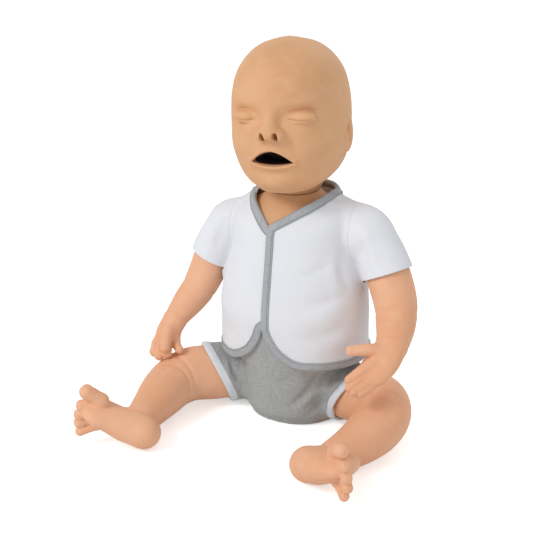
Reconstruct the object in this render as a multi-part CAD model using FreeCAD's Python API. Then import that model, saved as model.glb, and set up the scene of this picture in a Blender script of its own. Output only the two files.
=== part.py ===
"""Infant resuscitation training manikin, sitting with its legs apart, in millimetres.

The manikin faces -Y, +Z is up and its own left side is +X. The origin is the middle of the flat
patch it sits on. A rigid trunk shell carries the chest mechanism, the neck post and the limb plugs.
A soft skin covers the trunk, the head turns and tilts on a ball at the neck, and each limb swings
on a plug through the trunk wall. The vest and shorts are sewn pieces worn over the skin.
"""
import FreeCAD, Part
import os
from math import cos, sin, pi, radians, exp, hypot

V = FreeCAD.Vector
FRONT = V(0, -1, 0)
UP = V(0, 0, 1)
SIDES = {"right": -1, "left": 1}

# Walls and clearances
skin_wall = 2.5
skin_to_shell = 0.3
shell_wall = 3.2
cloth = 2.2
cloth_gap = 0.4
binding_extra = 0.5
binding_width = 8.0
running_gap = 0.3
joint_gap = 0.5
pin_clearance = 0.06

# Trunk: height, middle depth, half width and half depth of each level of the skin
trunk_levels = [
    (cloth + cloth_gap, 2.0, 41.0, 40.0),
    (12.0, 1.0, 46.0, 46.5),
    (30.0, 0.0, 47.0, 50.0),
    (48.0, -1.0, 47.0, 52.0),
    (60.0, -2.0, 48.5, 52.5),
    (69.0, -3.0, 59.0, 53.0),
    (79.0, -4.0, 67.5, 53.5),
    (96.0, -5.0, 70.0, 54.0),
    (120.0, -5.0, 70.5, 55.0),
    (145.0, -4.0, 69.0, 54.0),
    (165.0, -3.0, 64.0, 52.0),
    (180.0, -3.0, 61.0, 49.5),
    (192.0, -3.0, 60.0, 47.5),
    (203.0, -3.0, 59.5, 45.5),
    (212.0, -3.0, 57.5, 41.5),
    (219.0, -3.0, 51.5, 37.0),
    (225.0, -3.0, 41.0, 32.0),
    (231.0, -3.5, 29.0, 27.0),
    (235.5, -4.0, 24.0, 24.0),
]
trunk_fullness = 2.25
shoulder_lean = 4.0
lean_from, lean_full, lean_fade, lean_to = 105.0, 185.0, 210.0, 234.0

# Clothes
vest_hem_half_width = 75.6
vest_hem_depth = -4.0
vest_hem_half_depth = 60.2
vest_ease = cloth + 0.7
waist_ease = 2.6
vest_bottom = {"right": 69.0, "left": 72.0}
vest_split_height = 108.0
vest_v_height = 209.0
vest_collar_half = 37.0
vest_collar_height = 231.0
vest_back_bottom = 70.0
vest_back_top = 229.0
vest_middle = -3.0
shorts_top = 97.0

# Neck and head
neck_centre = V(0, -4, 254)
neck_radius = 29.5
neck_bottom = 236.0
neck_wall = 3.0
neck_hole_radius = 15.0
post_radius = 17.0
post_bore = 11.0
post_bottom = 213.0
head_turn_rest = 9.0
head_lean_rest = 2.5
head_wall = 5.0
skull_wall = 2.6
head_gap = 0.4
level_step = 2.0
head_levels = [
    (244.0, -50.0, -4.0, 24.0),
    (248.0, -58.0, 13.0, 36.5),
    (255.0, -63.5, 30.0, 44.5),
    (265.0, -66.5, 43.0, 50.0),
    (277.0, -69.0, 50.0, 53.0),
    (291.0, -71.5, 55.5, 55.5),
    (306.0, -72.5, 59.5, 56.0),
    (321.0, -72.5, 61.0, 55.5),
    (336.0, -71.0, 59.5, 53.5),
    (349.0, -66.5, 54.5, 50.0),
    (360.0, -58.5, 45.5, 44.0),
    (369.0, -47.5, 34.0, 36.0),
    (376.0, -33.5, 20.0, 25.5),
    (380.0, -17.0, 4.0, 12.5),
]
face_heights = [
    248.0, 252.5, 257.0, 262.0, 267.0, 272.0, 277.0, 282.0, 287.0, 292.0, 296.5, 301.0, 305.0,
    309.0, 313.0, 317.5, 322.0, 327.0, 333.0, 340.0, 347.0, 354.0, 361.0, 367.0, 372.0, 376.5,
]
pin_radius = 3.0
pin_half_length = 33.0
mouth_centre_height = 277.0
mouth_half_width = 19.5
mouth_rise = 8.0
mouth_drop = 3.5
mouth_depth = 27.0
nostril_height = 300.5
nostril_spread = 5.6
nostril_radius = 2.5
ear_height = 293.0
ear_depth = 7.0

# Chest mechanism
chest_travel = 36.0
chest_height = 140.0
window_half_width = 47.0
window_half_height = 47.0
plate_margin = 2.5
lung_wall = 2.6
guide_flange_y = 39.0
guide_flange_thickness = 3.0
guide_flange_radius = 24.0
guide_rod_radius = 6.0
guide_tube_wall = 2.2
stop_margin = 0.6
click_disc_wall = 0.4
click_disc_rise = 0.9
spring_wire = 1.1
spring_radius = 13.0
spring_turns = 9
screw_spread = 16.0
screw_radius = 1.5
screw_head_radius = 3.0
screw_length = 8.0
hose_radius = 3.6
hose_bore = 2.4

# Limb joints
shoulder_plane = 64.9
shoulder_axis_y = 2.0
shoulder_height = {"right": 198.0, "left": 206.0}
shoulder_ball_radius = 24.0
shoulder_ball_out = 8.0
arm_room_near = 30.0
arm_room_far = 60.0
arm_room_step = 12.1
plug_radius = 7.5
plug_flange_radius = 11.0
plug_flange_thickness = 3.0
plug_depth_in_limb = 12.0
hip_plane = 50.6
hip_axis_y = 3.0
hip_height = 30.8
leg_room_top = 62.0

# Limbs: middle line of each limb with its half width and half thickness
arm_lines = {
    "right": [(-78, 1, 187, 18.5, 18.5), (-90, -2, 163, 20, 20), (-99, -7, 138, 19, 19),
              (-106, -15, 119, 17.5, 17.5), (-113, -27, 105, 15.5, 15.5), (-119, -38, 93, 12, 12)],
    "left": [(82, 1, 194, 19, 19), (92, -1, 175, 21, 21), (103, -6, 154, 21.5, 21.5),
             (112, -15, 136, 20.5, 20.5), (118, -30, 122, 18.5, 18.5), (121, -44, 111, 15, 15)],
}
hand_lines = {
    "right": [(-118, -37, 95, 10.5, 10.5), (-122, -42, 86, 13, 12), (-125, -47, 77, 13.5, 12)],
    "left": [(121, -42, 113, 13, 12.5), (120, -50, 106, 15.5, 12), (117, -58, 98, 17, 10.5),
             (113, -65, 91, 16.5, 9)],
}
fingers = {
    "right": [[(-130, -49, 76), (-133, -57, 67), (-131, -65, 61), 6.0, 5.2],
              [(-127, -51, 73), (-127, -60, 64), (-124, -67, 59), 6.0, 5.2],
              [(-122, -50, 73), (-120, -59, 66), (-116, -65, 62), 5.8, 5.0],
              [(-117, -46, 75), (-112, -53, 68), (-106, -57, 65), 5.0, 4.4],
              [(-120, -54, 83), (-118, -63, 75), (-116, -68, 69), 6.4, 5.2]],
    "left": [[(112, -66, 99), (103, -75, 92), (94, -83, 84), 6.2, 4.6],
             [(111, -67, 93), (103, -77, 85), (96, -86, 78), 6.0, 4.6],
             [(112, -67, 88), (107, -78, 80), (101, -87, 75), 5.8, 4.5],
             [(114, -66, 84), (111, -76, 77), (106, -85, 73), 5.4, 4.2],
             [(115, -58, 108), (104, -66, 110), (91, -73, 109), 6.6, 5.0]],
}
leg_lines = {
    "right": [(-66, -11, 31, 28.5, 27.2), (-84, -27, 32, 28.5, 28), (-100, -43, 33.5, 27, 28),
              (-109, -62, 31, 25.5, 26.5), (-110, -84, 27.5, 23.5, 24.5),
              (-108, -108, 24, 19.5, 20), (-106, -126, 22.5, 16.5, 17), (-105, -142, 21, 15, 15)],
    "left": [(66, -7, 31, 28.5, 27.2), (86, -13, 32.5, 28.5, 28), (103, -23, 33.5, 27.5, 28),
             (112, -41, 32, 26.5, 27), (112, -62, 28, 25, 25.5), (106, -86, 24, 21, 21.5),
             (98, -108, 22, 17, 17.5), (91, -126, 21, 15, 15)],
}
foot_lines = {
    "right": [(-92, -147, 17, 15, 14), (-106, -151, 21.5, 16.5, 15.5), (-120, -155, 28, 18, 13),
              (-132, -159, 34, 20.5, 10.5)],
    "left": [(76, -133, 17.5, 16, 15), (88, -139, 21.5, 17.5, 16), (101, -145, 27, 19, 13.5),
             (112, -149, 32, 21, 10.5)],
}
toes = {
    "right": [[(-131, -160, 48), (-137, -164, 54), (-141, -168, 59), 7.5, 7.2],
              [(-135, -162, 42), (-142, -167, 46), (-146, -171, 45), 5.4, 5.4],
              [(-137, -162, 35), (-145, -168, 37), (-149, -172, 35), 5.2, 5.2],
              [(-137, -162, 28), (-146, -168, 28), (-150, -172, 26), 5.0, 5.0],
              [(-135, -161, 22), (-144, -167, 19), (-149, -172, 17), 4.8, 4.8]],
    "left": [[(111, -150, 47), (117, -155, 53), (120, -160, 56), 7.5, 7.2],
             [(116, -152, 40), (122, -158, 44), (125, -163, 43), 5.4, 5.4],
             [(118, -153, 33), (125, -160, 35), (128, -165, 33), 5.2, 5.2],
             [(118, -153, 26), (125, -160, 26), (129, -165, 24), 5.0, 5.0],
             [(115, -153, 19), (122, -160, 17), (126, -165, 15), 4.8, 4.8]],
}
sleeve_ends = {"right": (V(-91, -2, 151), V(-0.4, -0.15, -0.9)),
               "left": (V(97, -4, 163), V(0.4, -0.15, -0.9))}
hem_ends = {"right": (V(-74, -31, 30), V(-0.62, -0.60, -0.35)),
            "left": (V(72, -8, 31), V(0.85, -0.35, -0.40))}
hem_width = 8.0

outline_points = 16
knuckle_step = 0.97
far = 400.0


def ramp(value, start, end):
    """Smooth step from 0 at start to 1 at end."""
    share = min(1.0, max(0.0, (value - start) / (end - start)))
    return share * share * (3 - 2 * share)


def bump(value, middle, spread):
    return exp(-((value - middle) / spread) ** 2)


def loop(points):
    """Closed smooth wire through the points."""
    curve = Part.BSplineCurve()
    curve.interpolate(Points=points, PeriodicFlag=True)
    return Part.Wire([curve.toShape()])


def oval(centre, side, up, half_side, half_up, fullness=2.0, count=outline_points):
    """Closed smooth wire round an oval whose half axes lie along side and up."""
    points = []
    for step in range(count):
        turn = 2 * pi * step / count
        across, along = cos(turn), sin(turn)
        x = half_side * (1 if across > 0 else -1) * abs(across) ** (2 / fullness)
        y = half_up * (1 if along > 0 else -1) * abs(along) ** (2 / fullness)
        points.append(centre + side * x + up * y)
    return loop(points)


def loft(wires):
    """Solid through the wires, which are told apart by their order only."""
    solid = Part.makeLoft(wires, True, False)
    if solid.Volume < 0:
        solid.reverse()
    return solid


def limb(line, grow=0.0, round_start=True, round_end=True):
    """Smooth solid along a line of ovals, with rounded ends, made larger all round by grow."""
    centres = [V(*row[:3]) for row in line]
    sizes = [(row[3] + grow, row[4] + grow) for row in line]
    heading = []
    for index in range(len(centres)):
        before = centres[max(0, index - 1)]
        after = centres[min(len(centres) - 1, index + 1)]
        heading.append((after - before).normalize())
    side = heading[0].cross(UP).normalize()
    wires = []
    frames = []
    for index, centre in enumerate(centres):
        side = (side - heading[index] * side.dot(heading[index])).normalize()
        up = side.cross(heading[index])
        frames.append((centre, side, up))
        wires.append(oval(centre, side, up, *sizes[index], count=12))
    for last, wanted in ((0, round_start), (-1, round_end)):
        if not wanted:
            continue
        centre, side, up = frames[last]
        outward = heading[last] * (-1 if last == 0 else 1)
        reach = min(sizes[last])
        for turn in (30, 58, 80):
            share = cos(radians(turn))
            middle = centre + outward * (reach * sin(radians(turn)))
            ring = oval(middle, side, up, sizes[last][0] * share, sizes[last][1] * share, count=12)
            if last == 0:
                wires.insert(0, ring)
            else:
                wires.append(ring)
    return loft(wires)


def capsule(start, end, start_radius, end_radius):
    """Tapered rod with ball ends, turned from one profile."""
    along = end - start
    length = along.Length
    slant = cos(pi / 4)
    low = Part.Arc(V(0, 0, -start_radius), V(start_radius * slant, 0, -start_radius * slant),
                   V(start_radius, 0, 0))
    high = Part.Arc(V(end_radius, 0, length), V(end_radius * slant, 0, length + end_radius * slant),
                    V(0, 0, length + end_radius))
    wire = Part.Wire([low.toShape(), Part.makeLine(V(start_radius, 0, 0), V(end_radius, 0, length)),
                      high.toShape(), Part.makeLine(V(0, 0, length + end_radius), V(0, 0, -start_radius))])
    solid = Part.Face(wire).revolve(V(0, 0, 0), UP, 360)
    solid.Placement = FreeCAD.Placement(start, FreeCAD.Rotation(UP, along))
    return solid


def digit(row):
    """The two bones' worth of a finger or toe, bent at its middle joint."""
    root, middle, tip, root_radius, tip_radius = row
    knuckle = (root_radius + tip_radius) / 2
    first = capsule(V(*root), V(*middle), root_radius, knuckle)
    second = capsule(V(*middle), V(*tip), knuckle * knuckle_step, tip_radius)
    return [first, second]


def all_digits(rows):
    return [piece for row in rows for piece in digit(row)]


def lean_at(height):
    return shoulder_lean * ramp(height, lean_from, lean_full) * (1 - ramp(height, lean_fade, lean_to))


def level(height, depth, half_width, half_depth, grow):
    """Trunk outline at one level, leaning with the shoulders."""
    lean = radians(lean_at(height))
    side = V(cos(lean), 0, sin(lean))
    return oval(V(0, depth, height), side, V(0, 1, 0), half_width + grow, half_depth + grow,
                trunk_fullness, 20)


def trunk_half_width(height, y):
    """Half width of the skin at a height and depth, between the listed levels."""
    for low, high in zip(trunk_levels, trunk_levels[1:]):
        if low[0] <= height <= high[0]:
            share = (height - low[0]) / (high[0] - low[0])
            depth, half_width, half_depth = (a + (b - a) * share for a, b in zip(low[1:], high[1:]))
            return half_width * (1 - abs((y - depth) / half_depth) ** trunk_fullness) ** (1 / trunk_fullness)


def trunk_form(grow):
    """Trunk from the seat to the top of the neck, grown or shrunk by grow."""
    wires = []
    for height, depth, half_width, half_depth in trunk_levels:
        if height == trunk_levels[0][0]:
            height -= grow
        wires.append(level(height, depth, half_width, half_depth, grow))
    return loft(wires)


def vest_form(shrink):
    """Outside of the vest, or its inside where shrink is the cloth's thickness."""
    wires = [level(vest_back_bottom - 12 * step, vest_hem_depth, vest_hem_half_width,
                   vest_hem_half_depth, -shrink) for step in (1, 0)]
    for height, depth, half_width, half_depth in trunk_levels:
        if height > vest_back_bottom + 20:
            ease = vest_ease + waist_ease * (1 - ramp(height, shorts_top, chest_height + 25))
            wires.append(level(height, depth, half_width + ease, half_depth + ease, -shrink))
    return loft(wires)


def box(x0, x1, y0, y1, z0, z1):
    return Part.makeBox(x1 - x0, y1 - y0, z1 - z0, V(x0, y0, z0))


def half_space(point, normal, size=far):
    """Large block on the side of a plane that the normal points to."""
    block = Part.makeBox(size, size, size, V(-size / 2, -size / 2, 0))
    block.Placement = FreeCAD.Placement(point, FreeCAD.Rotation(UP, normal)).multiply(block.Placement)
    return block


def joined(base, pieces):
    """Base fused with each piece in turn."""
    for piece in pieces:
        base = base.fuse(piece)
    return base


def joined_cut(base, tools):
    """Base with each tool cut away in turn."""
    for tool in tools:
        base = base.cut(tool)
    return base


def rod(radius, start, end):
    along = end - start
    return Part.makeCylinder(radius, along.Length, start, along)


def prism(outline, y0, y1):
    """Outline in the XZ plane, drawn through the body from y0 to y1."""
    face = Part.Face(outline)
    face.translate(V(0, y0, 0))
    return face.extrude(V(0, y1 - y0, 0))


def turned(profile, point, along):
    """Solid turned about the line through the point, from (radius, distance) corners."""
    corners = [V(radius, 0, distance) for radius, distance in profile]
    face = Part.Face(Part.makePolygon(corners + corners[:1]))
    solid = face.revolve(V(0, 0, 0), UP, 360)
    solid.Placement = FreeCAD.Placement(point, FreeCAD.Rotation(UP, along))
    return solid


def arm_room(side, spare):
    """Space in which an arm can swing, narrowed by spare."""
    sign = SIDES[side]
    start = shoulder_plane + spare
    profile = [(0, start), (arm_room_near - spare, start),
               (arm_room_far - spare, start + arm_room_step), (far / 2, start + arm_room_step),
               (far / 2, far / 2), (0, far / 2)]
    return turned(profile, V(0, shoulder_axis_y, shoulder_height[side]), V(sign, 0, 0))


def front_outline(side, inset=0.0):
    """Front panel's outline seen from the front, its free edges moved inward by inset."""
    sign = SIDES[side]
    low = vest_bottom[side]
    edge = vest_middle - binding_width / 2 + sign * 0.25
    slope = (vest_collar_height - vest_v_height) / vest_collar_half
    drop = inset * hypot(1, slope)
    collar = V(sign * (vest_collar_half + inset), 0, vest_collar_height + slope * inset - drop)
    above = V(sign * (vest_collar_half + 24 + inset), 0, vest_collar_height + 18)
    point = V(edge + sign * inset, 0, vest_v_height + slope * inset - drop)
    split = V(edge, 0, vest_split_height)
    corner = V(edge + sign * 44, 0, low)
    hem = Part.BSplineCurve()
    knots = [split, V(edge + sign * 7, 0, low + 22), V(edge + sign * 22, 0, low + 7), corner]
    hem.interpolate(Points=knots, InitialTangent=V(0, 0, -40), FinalTangent=V(sign * 40, 0, 0))
    moved = []
    for knot in knots:
        along = V(*hem.tangent(hem.parameter(knot))[0])
        inward = along.cross(V(0, sign, 0))
        moved.append(knot + inward.normalize() * inset)
    hem.interpolate(Points=moved, InitialTangent=V(0, 0, -40), FinalTangent=V(sign * 40, 0, 0))
    out_low = V(sign * 110, 0, low + inset)
    out_high = V(sign * 110, 0, vest_collar_height + 18)
    edges = [Part.makeLine(above, collar), Part.makeLine(collar, point), Part.makeLine(point, moved[0]),
             hem.toShape(), Part.makeLine(moved[-1], out_low), Part.makeLine(out_low, out_high),
             Part.makeLine(out_high, above)]
    return Part.Wire(edges)


def face_shape(x, height):
    """How far the face stands out beyond the plain head, in front."""
    across = abs(x)
    rise = height - 308
    nose = 11.0 * bump(across, 0, 7.5) * exp(-(rise / (15.0 if rise > 0 else 5.5)) ** 2)
    cheek = 2.5 * bump(across, 36, 15) * bump(height, 284, 15)
    socket = -2.8 * bump(across, 27, 13) * bump(height, 325, 7)
    lid = 1.6 * bump(across, 26, 11) * bump(height, 317, 6)
    lips = 2.6 * bump(across, 0, 17) * bump(height, 279, 9)
    chin = 3.2 * bump(across, 0, 13) * bump(height, 257, 7)
    return nose + cheek + socket + lid + lips + chin


def head_ring(height, front, back, half_width, grow, featured):
    """Level outline of the head; its points stand closer together on the face."""
    depth = (front + back) / 2
    half_depth = (back - front) / 2
    points = []
    turns = [-90 + 7 * step for step in range(-11, 12)] + [2 + 15.5 * step for step in range(12)]
    for turn in turns:
        across, along = cos(radians(turn)), sin(radians(turn))
        x = (half_width + grow) * across
        y = (half_depth + grow) * along
        extra = face_shape(x, height) * max(0.0, -along) if featured else 0.0
        length = hypot(x, y)
        points.append(V(x * (1 + extra / length), depth + y * (1 + extra / length), height))
    return loop(points)


def head_level(height):
    """Plain head's front, back and half width at any height, from a smooth curve through the levels."""
    last = len(head_levels) - 2
    index = max(i for i in range(last + 1) if head_levels[i][0] <= height or i == 0)
    low, high = head_levels[index], head_levels[index + 1]
    below, above = head_levels[max(0, index - 1)], head_levels[min(last + 1, index + 2)]
    span = high[0] - low[0]
    t = (height - low[0]) / span
    values = []
    for k in (1, 2, 3):
        start_slope = (high[k] - below[k]) / (high[0] - below[0]) * span
        end_slope = (above[k] - low[k]) / (above[0] - low[0]) * span
        values.append((2 * t**3 - 3 * t**2 + 1) * low[k] + (t**3 - 2 * t**2 + t) * start_slope
                      + (3 * t**2 - 2 * t**3) * high[k] + (t**3 - t**2) * end_slope)
    return values


def head_form(grow, featured=False):
    """Head in its own frame, before it is turned about the neck."""
    low, high = list(head_levels[0]), list(head_levels[-1])
    low[0] -= grow
    high[0] += grow
    if featured:
        middle = [[height] + head_level(height) for height in face_heights]
    else:
        middle = [row for row in head_levels if low[0] + level_step < row[0] < high[0] - level_step]
    rows = [low] + middle + [high]
    return loft([head_ring(*row, grow, featured) for row in rows])


def lean_head(shape):
    """Head tipped a little towards its right shoulder, about the neck."""
    leaned = shape.copy()
    leaned.rotate(neck_centre, V(0, 1, 0), -head_lean_rest)
    return leaned


def turn_head(shape):
    turned_shape = shape.copy()
    turned_shape.rotate(neck_centre, UP, head_turn_rest)
    return turned_shape


def mouth_outline(margin):
    """Arched upper edge over a nearly flat lower edge."""
    half = mouth_half_width + margin
    left, right = V(-half, 0, mouth_centre_height), V(half, 0, mouth_centre_height)
    top = V(0, 0, mouth_centre_height + mouth_rise + margin)
    low = V(0, 0, mouth_centre_height - mouth_drop - margin)
    return Part.Wire([Part.Arc(left, top, right).toShape(), Part.Arc(right, low, left).toShape()])


def make_trunk(parts):
    """Skin, rigid shell and the bores for the limb plugs."""
    skin_in = trunk_form(-skin_wall)
    skin = trunk_form(0).cut(skin_in)
    shell_out = -skin_wall - skin_to_shell
    shell = trunk_form(shell_out).cut(trunk_form(shell_out - shell_wall))
    window = box(-window_half_width, window_half_width, -far, -12,
                 chest_height - window_half_height, chest_height + window_half_height)
    shell = shell.cut(window)
    for spot in guide_screw_spots():
        boss = rod(4.0, V(spot.x, guide_flange_y + guide_flange_thickness, spot.z),
                   V(spot.x, 47.0, spot.z))
        shell = shell.fuse(boss.common(trunk_form(shell_out - 0.2)))
    shell = shell.cut(guide_screws(pin_clearance))
    post = rod(post_radius, V(0, neck_centre.y, post_bottom - 12), V(0, neck_centre.y, neck_bottom - 1))
    neck_bore = rod(post_bore, V(0, neck_centre.y, 150), V(0, neck_centre.y, neck_bottom + 40))
    top_hole = rod(post_radius + running_gap, V(0, neck_centre.y, post_bottom),
                   V(0, neck_centre.y, neck_bottom + 9))
    flange_hole = box(-far, far, -far, far, 232.0, far)
    shell = shell.cut(flange_hole).cut(top_hole)
    skin = skin.cut(rod(post_radius + running_gap, V(0, neck_centre.y, 228), V(0, neck_centre.y, 240)))
    for side, sign in SIDES.items():
        shoulder = V(0, shoulder_axis_y, shoulder_height[side])
        hip = V(0, hip_axis_y, hip_height)
        for pivot, reach, start in ((shoulder, 100, 40), (hip, 80, 30)):
            hole = rod(plug_radius + running_gap, pivot + V(sign * start, 0, 0),
                       pivot + V(sign * reach, 0, 0))
            skin = skin.cut(hole)
            shell = shell.cut(hole)
    for side in SIDES:
        skin = skin.cut(arm_room(side, -joint_gap))
    parts["trunk_skin"] = skin
    parts["trunk_shell"] = shell
    parts["neck_post"] = neck_post(neck_bore)


def neck_post(neck_bore):
    """Hollow post with a foot inside the shoulders and a step that carries the neck ball."""
    y = neck_centre.y
    post = rod(post_radius, V(0, y, post_bottom), V(0, y, neck_bottom - running_gap))
    journal = rod(post_bore + 3.0, V(0, y, neck_bottom - 2), V(0, y, neck_bottom + 6))
    shell_in = -skin_wall - skin_to_shell - shell_wall
    half = min(wall_inside(side, V(0, shoulder_axis_y, shoulder_height[side])) for side in SIDES)
    half -= plug_flange_thickness + 1.0
    foot = trunk_form(shell_in - running_gap).common(
        box(-half, half, -far, far, post_bottom - 3, post_bottom))
    return post.fuse([journal, foot]).cut(neck_bore).removeSplitter()


def guide_screw_spots():
    return [V(x * screw_spread, 0, chest_height + z * screw_spread) for x in (-1, 1) for z in (-1, 1)]


def guide_screws(grow):
    """Four pan head screws that hold the guide to the back of the shell."""
    solids = []
    for spot in guide_screw_spots():
        face = V(spot.x, guide_flange_y, spot.z)
        shank = rod(screw_radius + grow, face - V(0, 0.5, 0), face + V(0, screw_length - 2 + grow, 0))
        head = rod(screw_head_radius + grow, face - V(0, 2.0, 0), face)
        solids.append(shank.fuse(head).removeSplitter())
    return Part.makeCompound(solids)


def make_chest(parts):
    """Compression mechanism: guide, spring, plate, lung bag and click strip."""
    shell_out = -skin_wall - skin_to_shell
    guide_axis = V(0, 0, chest_height)
    flange = rod(guide_flange_radius, guide_axis + V(0, guide_flange_y, 0),
                 guide_axis + V(0, guide_flange_y + guide_flange_thickness, 0))
    flange = flange.common(trunk_form(shell_out - shell_wall - running_gap))
    lung_in = shell_out - lung_wall
    plate_out = lung_in - running_gap
    plate_in = plate_out - shell_wall
    plate_back = trunk_levels[8][1] - trunk_levels[8][3] - plate_in
    seat_face = plate_back + 2.0
    guide_rod = rod(guide_rod_radius, guide_axis + V(0, seat_face + chest_travel + stop_margin, 0),
                    guide_axis + V(0, guide_flange_y, 0))
    guide = flange.fuse(guide_rod).cut(guide_screws(pin_clearance)).removeSplitter()
    parts["spring_guide"] = guide
    parts["guide_screws"] = guide_screws(0)
    half_width = window_half_width - plate_margin
    half_height = window_half_height - plate_margin
    column = box(-half_width, half_width, -far, -14, chest_height - half_height,
                 chest_height + half_height)
    bag_column = box(-half_width + 6, half_width - 6, -far, -20, chest_height - half_height + 6,
                     chest_height + half_height - 6)
    plate = trunk_form(plate_out).cut(trunk_form(plate_in)).common(column)
    tube_end = guide_flange_y - chest_travel - stop_margin
    tube_radius = guide_rod_radius + running_gap + guide_tube_wall
    tube = rod(tube_radius, guide_axis + V(0, plate_back - 1.5, 0),
               guide_axis + V(0, tube_end, 0))
    seat = rod(spring_radius + 4, guide_axis + V(0, plate_back - 1.5, 0),
               guide_axis + V(0, seat_face, 0))
    bore = rod(guide_rod_radius + running_gap, guide_axis + V(0, seat_face, 0),
               guide_axis + V(0, tube_end + 1, 0))
    ribs = [box(-half_width + 8, half_width - 8, plate_back - 1.5, plate_back + 3,
                chest_height + offset - 1.25, chest_height + offset + 1.25)
            for offset in (-30, 30)]
    ribs = [rib.common(trunk_form(plate_out - 0.5)) for rib in ribs]
    behind_face = trunk_form(plate_out - 0.5).fuse(box(-far, far, 0, far, 0, far))
    parts["chest_plate"] = plate.fuse([tube.common(behind_face), seat.common(behind_face)] + ribs).cut(bore)
    bag = trunk_form(shell_out - 0.1).cut(trunk_form(lung_in)).common(bag_column)
    parts["lung_bag"] = bag
    coil_start = seat_face + spring_wire + 0.2
    coil_end = guide_flange_y - spring_wire - 0.2
    pitch = (coil_end - coil_start) / spring_turns
    helix = Part.makeHelix(pitch, coil_end - coil_start, spring_radius)
    section = Part.Wire([Part.Circle(V(spring_radius, 0, 0), V(0, 1, 0), spring_wire).toShape()])
    coil = Part.Wire(helix.Edges).makePipeShell([section], True, True)
    coil.Placement = FreeCAD.Placement(guide_axis + V(0, coil_start, 0),
                                       FreeCAD.Rotation(UP, V(0, 1, 0)))
    parts["chest_spring"] = coil
    disc_inner, disc_outer = guide_rod_radius + running_gap, tube_radius + 1.2
    profile = [(disc_inner, click_disc_rise), (disc_outer, 0.1),
               (disc_outer, 0.1 + click_disc_wall), (disc_inner, click_disc_rise + click_disc_wall)]
    parts["click_disc"] = turned(profile, guide_axis + V(0, guide_flange_y, 0), FRONT)


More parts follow.
